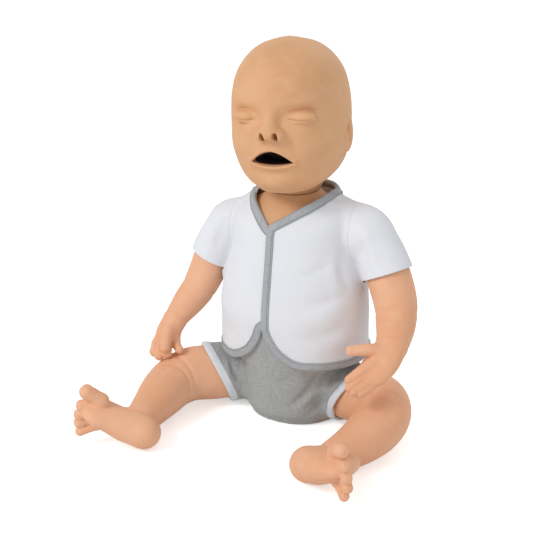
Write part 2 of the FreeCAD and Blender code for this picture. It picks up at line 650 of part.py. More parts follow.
def make_head(parts):
    """Neck ball and pin, two skull halves, the soft head skin, mouth liner and air hose."""
    x_axis = V(1, 0, 0)
    ball = Part.makeSphere(neck_radius, neck_centre)
    ball = ball.cut(Part.makeSphere(neck_radius - neck_wall, neck_centre))
    ball = ball.cut(box(-far, far, -far, far, 0, neck_bottom))
    floor = rod(22.0, V(0, neck_centre.y, neck_bottom), V(0, neck_centre.y, neck_bottom + neck_wall))
    ball = ball.fuse(floor.common(Part.makeSphere(neck_radius - 0.5, neck_centre)))
    ball = ball.cut(rod(post_bore + 3.0 + running_gap, V(0, neck_centre.y, 230),
                        V(0, neck_centre.y, neck_bottom + 10)))
    crown = V(0, neck_centre.y, neck_centre.z + 10)
    ball = ball.cut(rod(neck_hole_radius + 6, crown, crown + UP * 40))
    pin_line = rod(pin_radius, neck_centre - x_axis * pin_half_length,
                   neck_centre + x_axis * pin_half_length)
    for sign in (-1, 1):
        hub = rod(6.5, neck_centre + x_axis * (sign * 20), neck_centre + x_axis * (sign * 28))
        ball = ball.fuse(hub.common(Part.makeSphere(neck_radius - 0.5, neck_centre)))
    ball = ball.cut(rod(pin_radius + pin_clearance, neck_centre - x_axis * 50,
                        neck_centre + x_axis * 50))
    pins = pin_line.cut(rod(18.0, V(0, neck_centre.y, 200), V(0, neck_centre.y, 300)))
    inner = head_form(-head_wall)
    socket = Part.makeSphere(neck_radius + joint_gap + 0.3, neck_centre)
    pin_axis = V(cos(radians(head_lean_rest)), 0, -sin(radians(head_lean_rest)))
    pin_end = pin_axis * (pin_half_length + joint_gap)
    pin_room = rod(pin_radius + joint_gap, neck_centre - pin_end, neck_centre + pin_end)
    skin = head_form(0, featured=True).cut(inner).cut(socket).cut(pin_room)
    for sign in (-1, 1):
        ear = Part.makeSphere(1.0)
        scale = FreeCAD.Matrix()
        scale.scale(5.5, 10.5, 19.0)
        ear = ear.transformGeometry(scale)
        ear.rotate(V(0, 0, 0), V(0, 0, 1), sign * 14)
        ear.translate(V(sign * 57.0, ear_depth, ear_height))
        dimple = Part.makeSphere(1.0)
        scale = FreeCAD.Matrix()
        scale.scale(3.0, 5.5, 11.0)
        dimple = dimple.transformGeometry(scale)
        dimple.translate(V(sign * 62.0, ear_depth - 3, ear_height + 3))
        skin = skin.fuse(ear.cut(inner)).cut(dimple)
    skin = skin.cut(prism(mouth_outline(0), -far, neck_centre.y - 40))
    for sign in (-1, 1):
        start = V(sign * nostril_spread, -90, nostril_height - 3)
        skin = skin.cut(rod(nostril_radius, start, V(sign * (nostril_spread - 2), -66, nostril_height + 5)))
    parts["head_skin"] = turn_head(lean_head(skin))
    skull = head_form(-head_wall - head_gap).cut(head_form(-head_wall - head_gap - skull_wall))
    fence = head_form(-head_wall - head_gap - 0.3)
    screws = skull_screws()
    for x, height in skull_screw_spots():
        boss = rod(4.5, V(x, neck_centre.y - 9, height), V(x, neck_centre.y + 9, height))
        skull = skull.fuse(boss.common(fence))
    skull = skull.cut(prism(mouth_outline(2.4), -far, neck_centre.y - 30))
    skull = skull.cut(Part.makeCompound([screw[1] for screw in screws])).cut(socket)
    for sign in (-1, 1):
        boss = rod(7.0, neck_centre + pin_axis * (sign * (neck_radius + joint_gap + 0.5)),
                   neck_centre + pin_axis * (sign * 60))
        skull = skull.fuse(boss.common(fence))
    bore_end = pin_axis * (pin_half_length + 0.3)
    skull = skull.cut(rod(pin_radius + pin_clearance, neck_centre - bore_end, neck_centre + bore_end))
    front_half = box(-far, far, -far, neck_centre.y - running_gap / 2, 0, far)
    back_half = box(-far, far, neck_centre.y + running_gap / 2, far, 0, far)
    parts["skull_front"] = turn_head(lean_head(largest(skull.common(front_half))))
    parts["skull_back"] = turn_head(lean_head(largest(skull.common(back_half))))
    parts["skull_screws"] = turn_head(lean_head(Part.makeCompound([screw[0] for screw in screws])))
    parts["neck_ball"] = turn_head(ball)
    parts["neck_pins"] = turn_head(Part.makeCompound(pins.Solids))
    liner = prism(mouth_outline(2.0), -68 + head_wall, -68 + head_wall + mouth_depth)
    liner = liner.cut(prism(mouth_outline(0.2), -100, -68 + head_wall + mouth_depth - 2))
    liner = liner.common(head_form(-head_wall - 0.1))
    back = -68 + head_wall + mouth_depth
    spout = rod(hose_bore, V(0, back - 2, mouth_centre_height + 2), V(0, back + 8, mouth_centre_height + 2))
    liner = liner.fuse(spout.cut(rod(1.2, V(0, back - 3, mouth_centre_height + 2),
                                     V(0, back + 9, mouth_centre_height + 2))))
    parts["mouth_liner"] = turn_head(lean_head(liner))


def skull_screw_spots():
    """Side and height of each screw, just inside the skull's wall."""
    inside = head_wall + head_gap + skull_wall + 2.5
    return [(sign * (head_level(height)[2] - inside), height) for sign in (-1, 1) for height in (350.0, 290.0)]


def skull_screws():
    """Screw and hole solids that clamp the skull halves together."""
    pairs = []
    for x, height in skull_screw_spots():
        start = V(x, neck_centre.y + 9, height)
        shank = rod(1.2, start - V(0, 15, 0), start)
        head = rod(2.6, start + V(0, running_gap / 3, 0), start + V(0, 1.8, 0))
        neck = rod(1.2, start - V(0, 1, 0), start + V(0, 1, 0))
        hole = rod(1.2 + pin_clearance, start - V(0, 16, 0), start + V(0, 0.1, 0))
        hole = hole.fuse(rod(2.8, start + V(0, 0.05, 0), start + V(0, 12, 0)))
        pairs.append((shank.fuse([neck, head]).removeSplitter(), hole))
    return pairs


def make_hose(parts):
    """Air hose from the mouth liner down through the neck to the lung bag."""
    back = -68 + head_wall + mouth_depth + 2
    run = Part.makeLine(V(0, back, mouth_centre_height + 2), V(0, neck_centre.y, mouth_centre_height + 2))
    start, top = (vertex.Point for vertex in turn_head(lean_head(run)).Vertexes)
    low = V(0, neck_centre.y, 196)
    bag_y = -38.0
    end = V(0, bag_y, 190)
    path = bent_path([start, top, low, end])
    outer = Part.Wire([Part.Circle(start, path[0].tangentAt(path[0].FirstParameter), hose_radius).toShape()])
    inner = Part.Wire([Part.Circle(start, path[0].tangentAt(path[0].FirstParameter), hose_bore + 0.05).toShape()])
    wire = Part.Wire(path)
    tube = wire.makePipeShell([outer], True, False)
    hollow = wire.makePipeShell([inner], True, False)
    parts["air_hose"] = tube.cut(hollow)


def bent_path(points):
    """Straight runs joined by arcs as large as the runs allow."""
    edges = []
    here = points[0]
    for before, corner, after in zip(points, points[1:], points[2:]):
        back = (before - corner)
        on = (after - corner)
        reach = 0.45 * min(back.Length, on.Length)
        start = corner + back.normalize() * reach
        end = corner + on.normalize() * reach
        half = start.sub(corner).getAngle(end.sub(corner)) / 2
        inward = (start + end) * 0.5 - corner
        centre_distance = reach / cos(half)
        radius = reach * sin(half) / cos(half)
        middle = corner + inward.normalize() * (centre_distance - radius)
        edges.append(Part.makeLine(here, start))
        edges.append(Part.Arc(start, middle, end).toShape())
        here = end
    edges.append(Part.makeLine(here, points[-1]))
    return edges


def wall_inside(side, pivot):
    """How far out a plug's flange can lie before its rim meets the inside of the shell."""
    sign = SIDES[side]
    widths = []
    for turn in range(0, 360, 30):
        y = pivot.y + plug_flange_radius * cos(radians(turn))
        z = pivot.z + plug_flange_radius * sin(radians(turn))
        lean = sign * hip_plane * sin(radians(lean_at(z)))
        widths.append(trunk_half_width(z - lean, y))
    return min(widths) - skin_wall - skin_to_shell - shell_wall - running_gap


def plug(side, pivot, plane):
    """Mushroom plug: flange inside the trunk, shaft through its wall and head in the limb."""
    sign = SIDES[side]
    wall_inner = wall_inside(side, pivot)
    inner = wall_inner - plug_flange_thickness
    out = plane + plug_depth_in_limb
    profile = [(0, inner), (plug_flange_radius, inner), (plug_flange_radius, wall_inner),
               (plug_radius, wall_inner), (plug_radius, out - 4), (plug_radius + 2.5, out - 4),
               (plug_radius + 1.0, out), (0, out)]
    return turned(profile, V(0, pivot.y, pivot.z), V(sign, 0, 0))


def make_arm(parts, side):
    sign = SIDES[side]
    line = arm_lines[side]
    pivot = V(0, shoulder_axis_y, shoulder_height[side])
    ball_centre = pivot + V(sign * (shoulder_plane + shoulder_ball_out), 0, 0)
    ball = Part.makeSphere(shoulder_ball_radius, ball_centre)
    arm = joined(limb(line), [ball, limb(hand_lines[side])] + all_digits(fingers[side]))
    arm = arm.common(arm_room(side, 0))
    arm_plug = plug(side, pivot, shoulder_plane)
    socket = plug_socket(side, pivot, shoulder_plane)
    parts["arm_" + side] = arm.cut(socket)
    parts["shoulder_plug_" + side] = arm_plug
    point, normal = sleeve_ends[side]
    outer = limb(line, cloth + cloth_gap, False, False).fuse(
        Part.makeSphere(shoulder_ball_radius + cloth + cloth_gap, ball_centre))
    inner = limb(line, cloth_gap, False, False).fuse(
        Part.makeSphere(shoulder_ball_radius + cloth_gap, ball_centre))
    sleeve = outer.cut(inner).common(arm_room(side, 0)).cut(half_space(point, normal))
    parts["sleeve_" + side] = largest(sleeve.cut(arm))


def plug_socket(side, pivot, plane):
    """Undercut socket in the limb that the plug's head snaps into."""
    sign = SIDES[side]
    out = plane + plug_depth_in_limb
    gap = pin_clearance * 2
    profile = [(0, plane - 1), (plug_radius + gap, plane - 1), (plug_radius + gap, out - 4 - gap),
               (plug_radius + 2.5 + gap, out - 4 - gap), (plug_radius + 1.0 + gap, out + gap),
               (0, out + gap)]
    return turned(profile, V(0, pivot.y, pivot.z), V(sign, 0, 0))


def largest(shape):
    return max(shape.Solids, key=lambda solid: solid.Volume)


def make_leg(parts, side):
    sign = SIDES[side]
    line = [(sign * hip_plane, 0, hip_height, 28.0, 27.2)] + leg_lines[side]
    start = [(sign * (hip_plane - 14), 3, hip_height, 28.0, 27.2)] + line
    pivot = V(0, hip_axis_y, hip_height)
    outside = half_space(V(sign * hip_plane, 0, 0), V(sign, 0, 0), 2 * far)
    leg = joined(limb(start, round_start=False),
                 [limb(foot_lines[side])] + all_digits(toes[side]))
    leg = leg.common(outside)
    parts["leg_" + side] = leg.cut(plug_socket(side, pivot, hip_plane))
    parts["hip_plug_" + side] = plug(side, pivot, hip_plane)
    point, normal = hem_ends[side]
    thigh = start[:6]
    outer = limb(thigh, cloth + cloth_gap, False, False)
    thick = limb(thigh, cloth + cloth_gap + binding_extra, False, False)
    inner = limb(thigh, cloth_gap, False, False)
    normal = V(normal).normalize()
    beyond = half_space(point, normal)
    band = half_space(point - normal * hem_width, normal)
    above_floor = box(-far, far, -far, far, 0.0, far)
    tube = outer.cut(inner).common(outside).common(above_floor)
    parts["shorts_leg_" + side] = largest(tube.cut(band))
    ring = thick.cut(inner).common(outside).common(above_floor).cut(beyond).common(band)
    parts["shorts_hem_" + side] = largest(ring)


def make_vest(parts):
    """Back, two front panels and the bias binding along every free edge."""
    outer = vest_form(0)
    inner = vest_form(cloth)
    thick = vest_form(-binding_extra)
    cloth_shell = outer.cut(inner)
    band_shell = thick.cut(inner)
    arms = []
    for side in SIDES:
        arms.append(arm_room(side, -joint_gap))
        root = V(0, shoulder_axis_y, shoulder_height[side])
        arms.append(rod(plug_flange_radius, root + V(SIDES[side] * 45, 0, 0),
                        root + V(SIDES[side] * 90, 0, 0)))
    cloth_shell = cloth_shell.cut(arms)
    band_shell = band_shell.cut(arms)
    side_seam = neck_centre.y + 2.0
    bands = []
    for side in SIDES:
        whole = prism(front_outline(side), -far / 2, side_seam)
        inner_part = prism(front_outline(side, binding_width), -far / 2, side_seam)
        if side == "right":
            plain = box(vest_middle - 2 * binding_width, far, -far, side_seam,
                        vest_split_height - binding_width, vest_v_height)
            inner_part = inner_part.fuse(plain.common(whole))
        panel = cloth_shell.common(inner_part)
        parts["vest_front_" + side] = largest(panel)
        bands.append(largest(band_shell.common(whole).cut(inner_part)))
    back_room = box(-far, far, side_seam, far, vest_back_bottom, vest_back_top)
    middle_room = box(-far, far, side_seam, far, vest_back_bottom + binding_width,
                      vest_back_top - binding_width)
    parts["vest_back"] = largest(cloth_shell.common(middle_room))
    back_band = band_shell.common(back_room.cut(middle_room))
    bands += [solid for solid in back_band.Solids if solid.Volume > 50]
    parts["vest_binding"] = Part.makeCompound(bands)


def make_shorts(parts):
    """Seat and waist of the shorts, closed over the hips."""
    outer = trunk_form(cloth + cloth_gap)
    inner = trunk_form(cloth_gap)
    shell = outer.cut(inner).common(box(-far, far, -far, far, 0, shorts_top))
    hips = []
    for side, sign in SIDES.items():
        pivot = V(0, hip_axis_y, hip_height)
        hips.append(rod(plug_flange_radius, pivot + V(sign * 30, 0, 0), pivot + V(sign * 80, 0, 0)))
    for sign in SIDES.values():
        edges = sorted((sign * (hip_plane - joint_gap), sign * far))
        hips.append(box(*edges, -far, far, -1, leg_room_top))
    parts["shorts_body"] = largest(joined_cut(shell, hips))


def make_all():
    parts = {}
    make_trunk(parts)
    make_chest(parts)
    make_head(parts)
    make_hose(parts)
    for side in SIDES:
        make_arm(parts, side)
        make_leg(parts, side)
    make_vest(parts)
    make_shorts(parts)
    return parts


os.makedirs("parts", exist_ok=True)
for name, shape in make_all().items():
    shape.exportStep("parts/%s.step" % name)
    print("%-20s solids %2d  volume %9.0f  valid %s" % (name, len(shape.Solids), shape.Volume, shape.isValid()))
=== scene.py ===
"""Looks of an infant resuscitation training manikin: soft moulded head and limbs, a knit wrap vest
with bound edges and knit shorts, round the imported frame. Sizes here are in millimetres until a mesh
is made, and +Z is up, -Y is the manikin's front and +X its left side."""
from math import cos, sin, pi, radians, hypot

import bmesh
import bpy
import numpy as np
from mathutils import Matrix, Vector


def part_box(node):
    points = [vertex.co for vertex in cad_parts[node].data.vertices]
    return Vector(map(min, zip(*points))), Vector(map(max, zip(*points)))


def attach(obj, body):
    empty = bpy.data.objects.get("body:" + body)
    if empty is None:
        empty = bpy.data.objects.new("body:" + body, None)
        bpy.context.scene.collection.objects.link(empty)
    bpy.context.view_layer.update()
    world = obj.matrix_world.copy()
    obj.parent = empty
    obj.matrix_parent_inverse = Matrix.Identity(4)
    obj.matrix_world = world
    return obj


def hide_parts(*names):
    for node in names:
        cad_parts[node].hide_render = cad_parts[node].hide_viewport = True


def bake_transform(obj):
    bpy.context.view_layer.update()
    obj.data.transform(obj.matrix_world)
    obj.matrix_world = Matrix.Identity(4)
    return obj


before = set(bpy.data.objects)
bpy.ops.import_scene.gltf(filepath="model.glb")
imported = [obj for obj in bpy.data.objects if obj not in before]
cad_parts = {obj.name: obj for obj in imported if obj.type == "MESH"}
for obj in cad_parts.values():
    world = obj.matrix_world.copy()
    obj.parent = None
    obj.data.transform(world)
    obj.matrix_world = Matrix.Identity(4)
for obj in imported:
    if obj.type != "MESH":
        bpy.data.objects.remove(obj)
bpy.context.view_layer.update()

SIDES = {"right": -1.0, "left": 1.0}

# ---------------------------------------------------------------- camera, light and floor


def make_camera():
    data = bpy.data.cameras.new("camera")
    data.sensor_width = 36.0
    data.lens = 74.3
    data.shift_x = -0.0572
    data.shift_y = 0.0066
    data.clip_start, data.clip_end = 0.05, 20.0
    camera = bpy.data.objects.new("camera", data)
    bpy.context.scene.collection.objects.link(camera)
    azimuth, elevation = radians(26.0), radians(20.0)
    back = Vector((sin(azimuth) * cos(elevation), -cos(azimuth) * cos(elevation), sin(elevation)))
    camera.location = Vector((0.0, 0.0, 0.150)) + back * 1.1
    camera.rotation_mode = "QUATERNION"
    camera.rotation_quaternion = (-back).to_track_quat("-Z", "Y")
    bpy.context.scene.camera = camera


def make_lamp(name, place, size, watts, aim=(0.0, 0.0, 0.16)):
    data = bpy.data.lights.new(name, "AREA")
    data.shape = "DISK"
    data.size = size
    data.energy = watts
    lamp = bpy.data.objects.new(name, data)
    bpy.context.scene.collection.objects.link(lamp)
    lamp.location = place
    lamp.rotation_mode = "QUATERNION"
    lamp.rotation_quaternion = (Vector(aim) - Vector(place)).to_track_quat("-Z", "Y")
    return lamp


# ---------------------------------------------------------------- shader maths


class Sock:
    """One socket of a node tree, with arithmetic that adds the nodes it needs."""

    def __init__(self, tree, socket):
        self.tree, self.socket = tree, socket

    def node(self, kind, settings=None, values=None, out=0):
        made = self.tree.nodes.new(kind)
        for key, value in (settings or {}).items():
            if key == "stops":
                ramp = made.color_ramp
                while len(ramp.elements) < len(value):
                    ramp.elements.new(0.5)
                for element, (position, colour) in zip(ramp.elements, value):
                    element.position, element.color = position, colour
            else:
                setattr(made, key, value)
        for key, value in (values or {}).items():
            target = made.inputs[key]
            if isinstance(value, Sock):
                self.tree.links.new(value.socket, target)
            else:
                target.default_value = value
        return Sock(self.tree, made.outputs[out])

    def maths(self, operation, *values, clamp=False):
        return self.node("ShaderNodeMath", {"operation": operation, "use_clamp": clamp},
                         dict(enumerate(values)))

    def __add__(self, other): return self.maths("ADD", self, other)
    def __radd__(self, other): return self.maths("ADD", other, self)
    def __sub__(self, other): return self.maths("SUBTRACT", self, other)
    def __rsub__(self, other): return self.maths("SUBTRACT", other, self)
    def __mul__(self, other): return self.maths("MULTIPLY", self, other)
    def __rmul__(self, other): return self.maths("MULTIPLY", other, self)

    def ramp(self, low, high):
        """0 below low to 1 above high, smoothly."""
        return self.node("ShaderNodeMapRange", {"interpolation_type": "SMOOTHSTEP"},
                         {"Value": self, "From Min": low, "From Max": high})

    def blend(self, first, second):
        """Colour between first and second, by this value."""
        return self.node("ShaderNodeMix", {"data_type": "RGBA"}, {0: self, 6: first, 7: second}, 2)


def colour(red, green, blue):
    """Linear colour from a picture's 0 to 255 values."""
    values = []
    for value in (red, green, blue):
        value /= 255.0
        values.append(value / 12.92 if value <= 0.04045 else ((value + 0.055) / 1.055) ** 2.4)
    return (*values, 1.0)


def new_material(name):
    material = bpy.data.materials.new(name)
    material.use_nodes = True
    tree = material.node_tree
    shader = next(node for node in tree.nodes if node.type == "BSDF_PRINCIPLED")
    place = tree.nodes.new("ShaderNodeTexCoord")
    return material, tree, shader, Sock(tree, place.outputs["Object"]), Sock(tree, place.outputs["UV"])


def noise(place, scale, detail=3.0, rough=0.55):
    return place.node("ShaderNodeTexNoise", {},
                      {"Vector": place, "Scale": scale, "Detail": detail, "Roughness": rough})


def set_bump(tree, shader, height, strength, distance):
    bump = height.node("ShaderNodeBump", {}, {"Strength": strength, "Distance": distance, "Height": height})
    tree.links.new(bump.socket, shader.inputs["Normal"])


def vinyl(name, main, warm, pale, gloss):
    """Soft moulded vinyl: faint uneven tint, a fine satin grain and slightly worn gloss."""
    material, tree, shader, place, _ = new_material(name)
    broad = noise(place, 14.0, 2.0).ramp(0.35, 0.68)
    blotch = noise(place, 55.0, 3.0).ramp(0.45, 0.75)
    tint = (blotch * 0.35).blend(broad.blend(main, warm), pale)
    tree.links.new(tint.socket, shader.inputs["Base Color"])
    rough = noise(place, 90.0, 4.0) * 0.16 + (gloss - 0.08)
    tree.links.new(rough.socket, shader.inputs["Roughness"])
    grain = noise(place, 900.0, 2.0) * 0.6 + noise(place, 2600.0, 2.0) * 0.4
    set_bump(tree, shader, grain, 0.12, 0.0004)
    shader.inputs["IOR"].default_value = 1.42
    shader.inputs["Specular IOR Level"].default_value = 0.25
    shader.inputs["Subsurface Weight"].default_value = 0.12
    shader.inputs["Subsurface Radius"].default_value = (0.004, 0.002, 0.0012)
    shader.inputs["Subsurface Scale"].default_value = 1.0
    return material


def knit(name, main, shade, rib=0.0011, melange=0.0, strength=0.5):
    """Fine jersey: rows of loops along the piece's own map, with flecks of darker yarn."""
    material, tree, shader, place, chart = new_material(name)
    parts = chart.node("ShaderNodeSeparateXYZ", {}, {0: chart})
    across = Sock(tree, parts.socket.node.outputs[0])
    along = Sock(tree, parts.socket.node.outputs[1])
    column = (across * (2 * pi / rib)).maths("SINE", across * (2 * pi / rib))
    row = along * (2 * pi / (rib * 1.25)) + column * 0.9
    loops = row.maths("SINE", row) * 0.5 + column * 0.5
    fleck = noise(place, 420.0, 4.0, 0.7).ramp(0.42, 0.66)
    broad = noise(place, 22.0, 2.0).ramp(0.35, 0.7)
    tint = (fleck * melange + broad * 0.12).blend(main, shade)
    tint = ((loops * 0.5 + 0.5) * 0.14).blend(tint, shade)
    tree.links.new(tint.socket, shader.inputs["Base Color"])
    rough = noise(place, 200.0) * 0.1 + 0.82
    tree.links.new(rough.socket, shader.inputs["Roughness"])
    set_bump(tree, shader, loops * 0.5 + noise(place, 900.0, 3.0) * 0.5, strength, 0.0004)
    shader.inputs["Sheen Weight"].default_value = 0.12
    shader.inputs["Sheen Roughness"].default_value = 0.5
    shader.inputs["IOR"].default_value = 1.3
    return material


def moulded(name, main, shade, gloss, metal=0.0, grain=700.0):
    """Hard moulded or metal piece, with fine texture and slight wear."""
    material, tree, shader, place, _ = new_material(name)
    wear = noise(place, 60.0, 4.0).ramp(0.45, 0.7)
    tree.links.new((wear * 0.5).blend(main, shade).socket, shader.inputs["Base Color"])
    rough = noise(place, 150.0) * 0.2 + (gloss - 0.1)
    tree.links.new(rough.socket, shader.inputs["Roughness"])
    set_bump(tree, shader, noise(place, grain), 0.15, 0.0003)
    shader.inputs["Metallic"].default_value = metal
    return material


def make_materials():
    return {
        "head": vinyl("head_vinyl", colour(219, 171, 129), colour(212, 161, 119),
                      colour(226, 183, 144), 0.58),
        "trunk": vinyl("trunk_vinyl", colour(212, 164, 122), colour(204, 154, 112),
                       colour(219, 175, 135), 0.60),
        "limb": vinyl("limb_vinyl", colour(233, 181, 147), colour(227, 169, 132),
                      colour(238, 194, 163), 0.55),
        "white": knit("white_jersey", colour(230, 232, 237), colour(208, 211, 219)),
        "grey": knit("grey_jersey", colour(181, 184, 183), colour(140, 143, 143), melange=0.45,
                     strength=0.7),
        "binding": knit("grey_binding", colour(178, 182, 185), colour(138, 142, 146), melange=0.4, rib=0.0013,
                        strength=0.7),
        "pale": knit("white_binding", colour(224, 229, 235), colour(200, 206, 214), rib=0.0013),
        "thread": moulded("grey_thread", colour(118, 120, 124), colour(96, 98, 102), 0.8, grain=2500.0),
        "pale_thread": moulded("white_thread", colour(214, 217, 222), colour(192, 195, 201), 0.8, grain=2500.0),
        "shell": moulded("shell_plastic", colour(214, 216, 214), colour(196, 198, 196), 0.45),
        # mouth liner: a near-black brown that is painted shade, standing for the shadow inside the open mouth
        "dark": moulded("mouth_liner_painted_shade", colour(52, 30, 26), colour(34, 20, 18), 0.65),
        "steel": moulded("steel", colour(196, 198, 202), colour(160, 162, 166), 0.30, 1.0),
        "hose": moulded("silicone_hose", colour(222, 226, 228), colour(205, 210, 214), 0.35),
        "bag": moulded("bag_film", colour(206, 214, 222), colour(190, 199, 208), 0.3),
        "hard": moulded("plug_plastic", colour(226, 222, 214), colour(205, 200, 190), 0.4),
    }


# ---------------------------------------------------------------- distance fields and meshes


def unit(vector):
    vector = np.asarray(vector, float)
    return vector / max(np.linalg.norm(vector), 1e-9)


def soft_union(first, second, reach):
    meet = np.maximum(reach - np.abs(first - second), 0.0) / reach
    return np.minimum(first, second) - meet * meet * reach * 0.25


def soft_common(first, second, reach):
    return -soft_union(-first, -second, reach)


def round_cone(points, start, end, start_radius, end_radius):
    """Distance to a rod with ball ends of two radii."""
    start, end = np.asarray(start, float), np.asarray(end, float)
    axis = end - start
    squared = float(axis @ axis)
    drop = start_radius - end_radius
    rest = max(squared - drop * drop, 1e-6)
    offset = points - start
    along = offset @ axis
    beyond = along - squared
    side = offset * squared - along[:, None] * axis
    x2 = (side * side).sum(1)
    y2, z2 = along * along * squared, beyond * beyond * squared
    slope = np.sign(drop) * drop * drop * x2
    past_end = np.sqrt(x2 + z2) / squared - end_radius
    before_start = np.sqrt(x2 + y2) / squared - start_radius
    middle = (np.sqrt(x2 * rest / squared) + along * drop) / squared - start_radius
    return np.where(np.sign(beyond) * rest * z2 > slope, past_end,
                    np.where(np.sign(along) * rest * y2 < slope, before_start, middle))


def smooth_rows(rows, share=4):
    """Rows of place and sizes with more rows between them, on a smooth curve."""
    rows = np.array(rows, float)
    if len(rows) < 3:
        share = 1
    dense = []
    for index in range(len(rows) - 1):
        before, low = rows[max(0, index - 1)], rows[index]
        high, after = rows[index + 1], rows[min(len(rows) - 1, index + 2)]
        for step in range(share):
            t = step / share
            bend = (2 * before - 5 * low + 4 * high - after) * t * t
            twist = (3 * low - before - 3 * high + after) * t ** 3
            dense.append(0.5 * (2 * low + (high - before) * t + bend + twist))
    dense.append(rows[-1])
    return np.array(dense)


def tube(points, rows, grow=0.0, share=4):
    """Distance to a limb whose rows give place, half width and half thickness."""
    first = np.array(rows[1][:3], float) - np.array(rows[0][:3], float)
    side = unit(np.cross(first, (0.0, 0.0, 1.0)))
    found = np.full(len(points), 1e9)
    dense = smooth_rows(rows, share)
    for low, high in zip(dense, dense[1:]):
        heading = unit(high[:3] - low[:3])
        side = unit(side - heading * (side @ heading))
        up = np.cross(side, heading)
        wide = (low[3] + high[3]) / 2 + grow
        thick = (low[4] + high[4]) / 2 + grow
        stretch = wide / thick
        near = points + up * (((points - low[:3]) @ up) * (stretch - 1))[:, None]
        piece = round_cone(near, low[:3], high[:3], low[3] + grow, high[3] + grow)
        found = np.minimum(found, piece / max(stretch, 1.0))
    return found


def ellipsoid(points, centre, sizes):
    scaled = (points - np.asarray(centre, float)) / np.asarray(sizes, float)
    length = np.sqrt((scaled * scaled).sum(1))
    steep = scaled / np.asarray(sizes, float)
    return length * (length - 1.0) / np.maximum(np.sqrt((steep * steep).sum(1)), 1e-6)


def hill(value, middle, spread):
    return np.exp(-((value - middle) / spread) ** 2)


def step_up(value, low, high):
    share = np.clip((value - low) / (high - low), 0.0, 1.0)
    return share * share * (3 - 2 * share)


def to_segment(points, start, end):
    """Distance to a straight run, and how far along it the nearest point lies."""
    start, end = np.asarray(start, float), np.asarray(end, float)
    axis = end - start
    share = np.clip(((points - start) @ axis) / (axis @ axis), 0.0, 1.0)
    return np.linalg.norm(points - (start + share[:, None] * axis), axis=1), share


def folds(points, runs):
    """Sum of soft ridges (height above 0) and hollows (below 0) along bent runs."""
    total = np.zeros(len(points))
    for height, width, *knots in runs:
        best, place = np.full(len(points), 1e9), np.zeros(len(points))
        count = len(knots) - 1
        for index, (start, end) in enumerate(zip(knots, knots[1:])):
            away, share = to_segment(points, start, end)
            closer = away < best
            best = np.where(closer, away, best)
            place = np.where(closer, (index + share) / count, place)
        total += height * np.exp(-(best / width) ** 2) * np.sin(pi * np.clip(place, 0.06, 0.94)) ** 0.7
    return total


def laid(runs, field):
    """The same runs with their knots moved onto the surface, and one more between each pair."""
    placed = []
    for height, width, *knots in runs:
        knots = np.array(knots, float)
        marks = np.linspace(0, len(knots) - 1, 2 * len(knots) - 1)
        knots = np.stack([np.interp(marks, range(len(knots)), knots[:, k]) for k in range(3)], 1)
        placed.append((height, width, *settle(field, knots, 14)))
    return placed


def gradient(field, points, step=0.35):
    slopes = np.empty_like(points)
    for axis in range(3):
        shift = np.zeros(3)
        shift[axis] = step
        slopes[:, axis] = (field(points + shift) - field(points - shift)) / (2 * step)
    return slopes


def settle(field, points, rounds=2):
    """Points moved onto the field's surface."""
    for _ in range(rounds):
        slopes = gradient(field, points)
        size = np.maximum((slopes * slopes).sum(1), 0.05)
        move = np.clip(field(points) / size, -1.5, 1.5)
        points = points - slopes * move[:, None]
    return points


CORNERS = np.array([(i, j, k) for i in (0, 1) for j in (0, 1) for k in (0, 1)])
EDGES = [(a, b) for a in range(8) for b in range(a + 1, 8) if abs(CORNERS[a] - CORNERS[b]).sum() == 1]


def surface(field, low, high, step, slack=1.5):
    """Quads on the field's zero surface: a coarse pass finds where it is, a fine pass follows it."""
    low, high = np.array(low, float), np.array(high, float)
    ratio = 4
    coarse = step * ratio
    blocks = np.ceil((high - low) / coarse).astype(int)
    axes = [low[a] + (np.arange(blocks[a]) + 0.5) * coarse for a in range(3)]
    middles = np.stack(np.meshgrid(*axes, indexing="ij"), -1).reshape(-1, 3)
    values = in_parts(field, middles).reshape(blocks)
    near = np.abs(values) < coarse * 0.87 * slack
    spread = near.copy()
    for axis in range(3):
        spread |= np.roll(spread, 1, axis)
    wide = np.kron(spread, np.ones((ratio,) * 3, bool))
    fine = np.kron(values, np.ones((ratio,) * 3))
    spots = np.argwhere(wide)
    fine[wide] = in_parts(field, low + spots * step)
    return net(fine, low, step, field)


def in_parts(field, points, size=200000):
    return np.concatenate([field(points[i:i + size]) for i in range(0, len(points), size)])


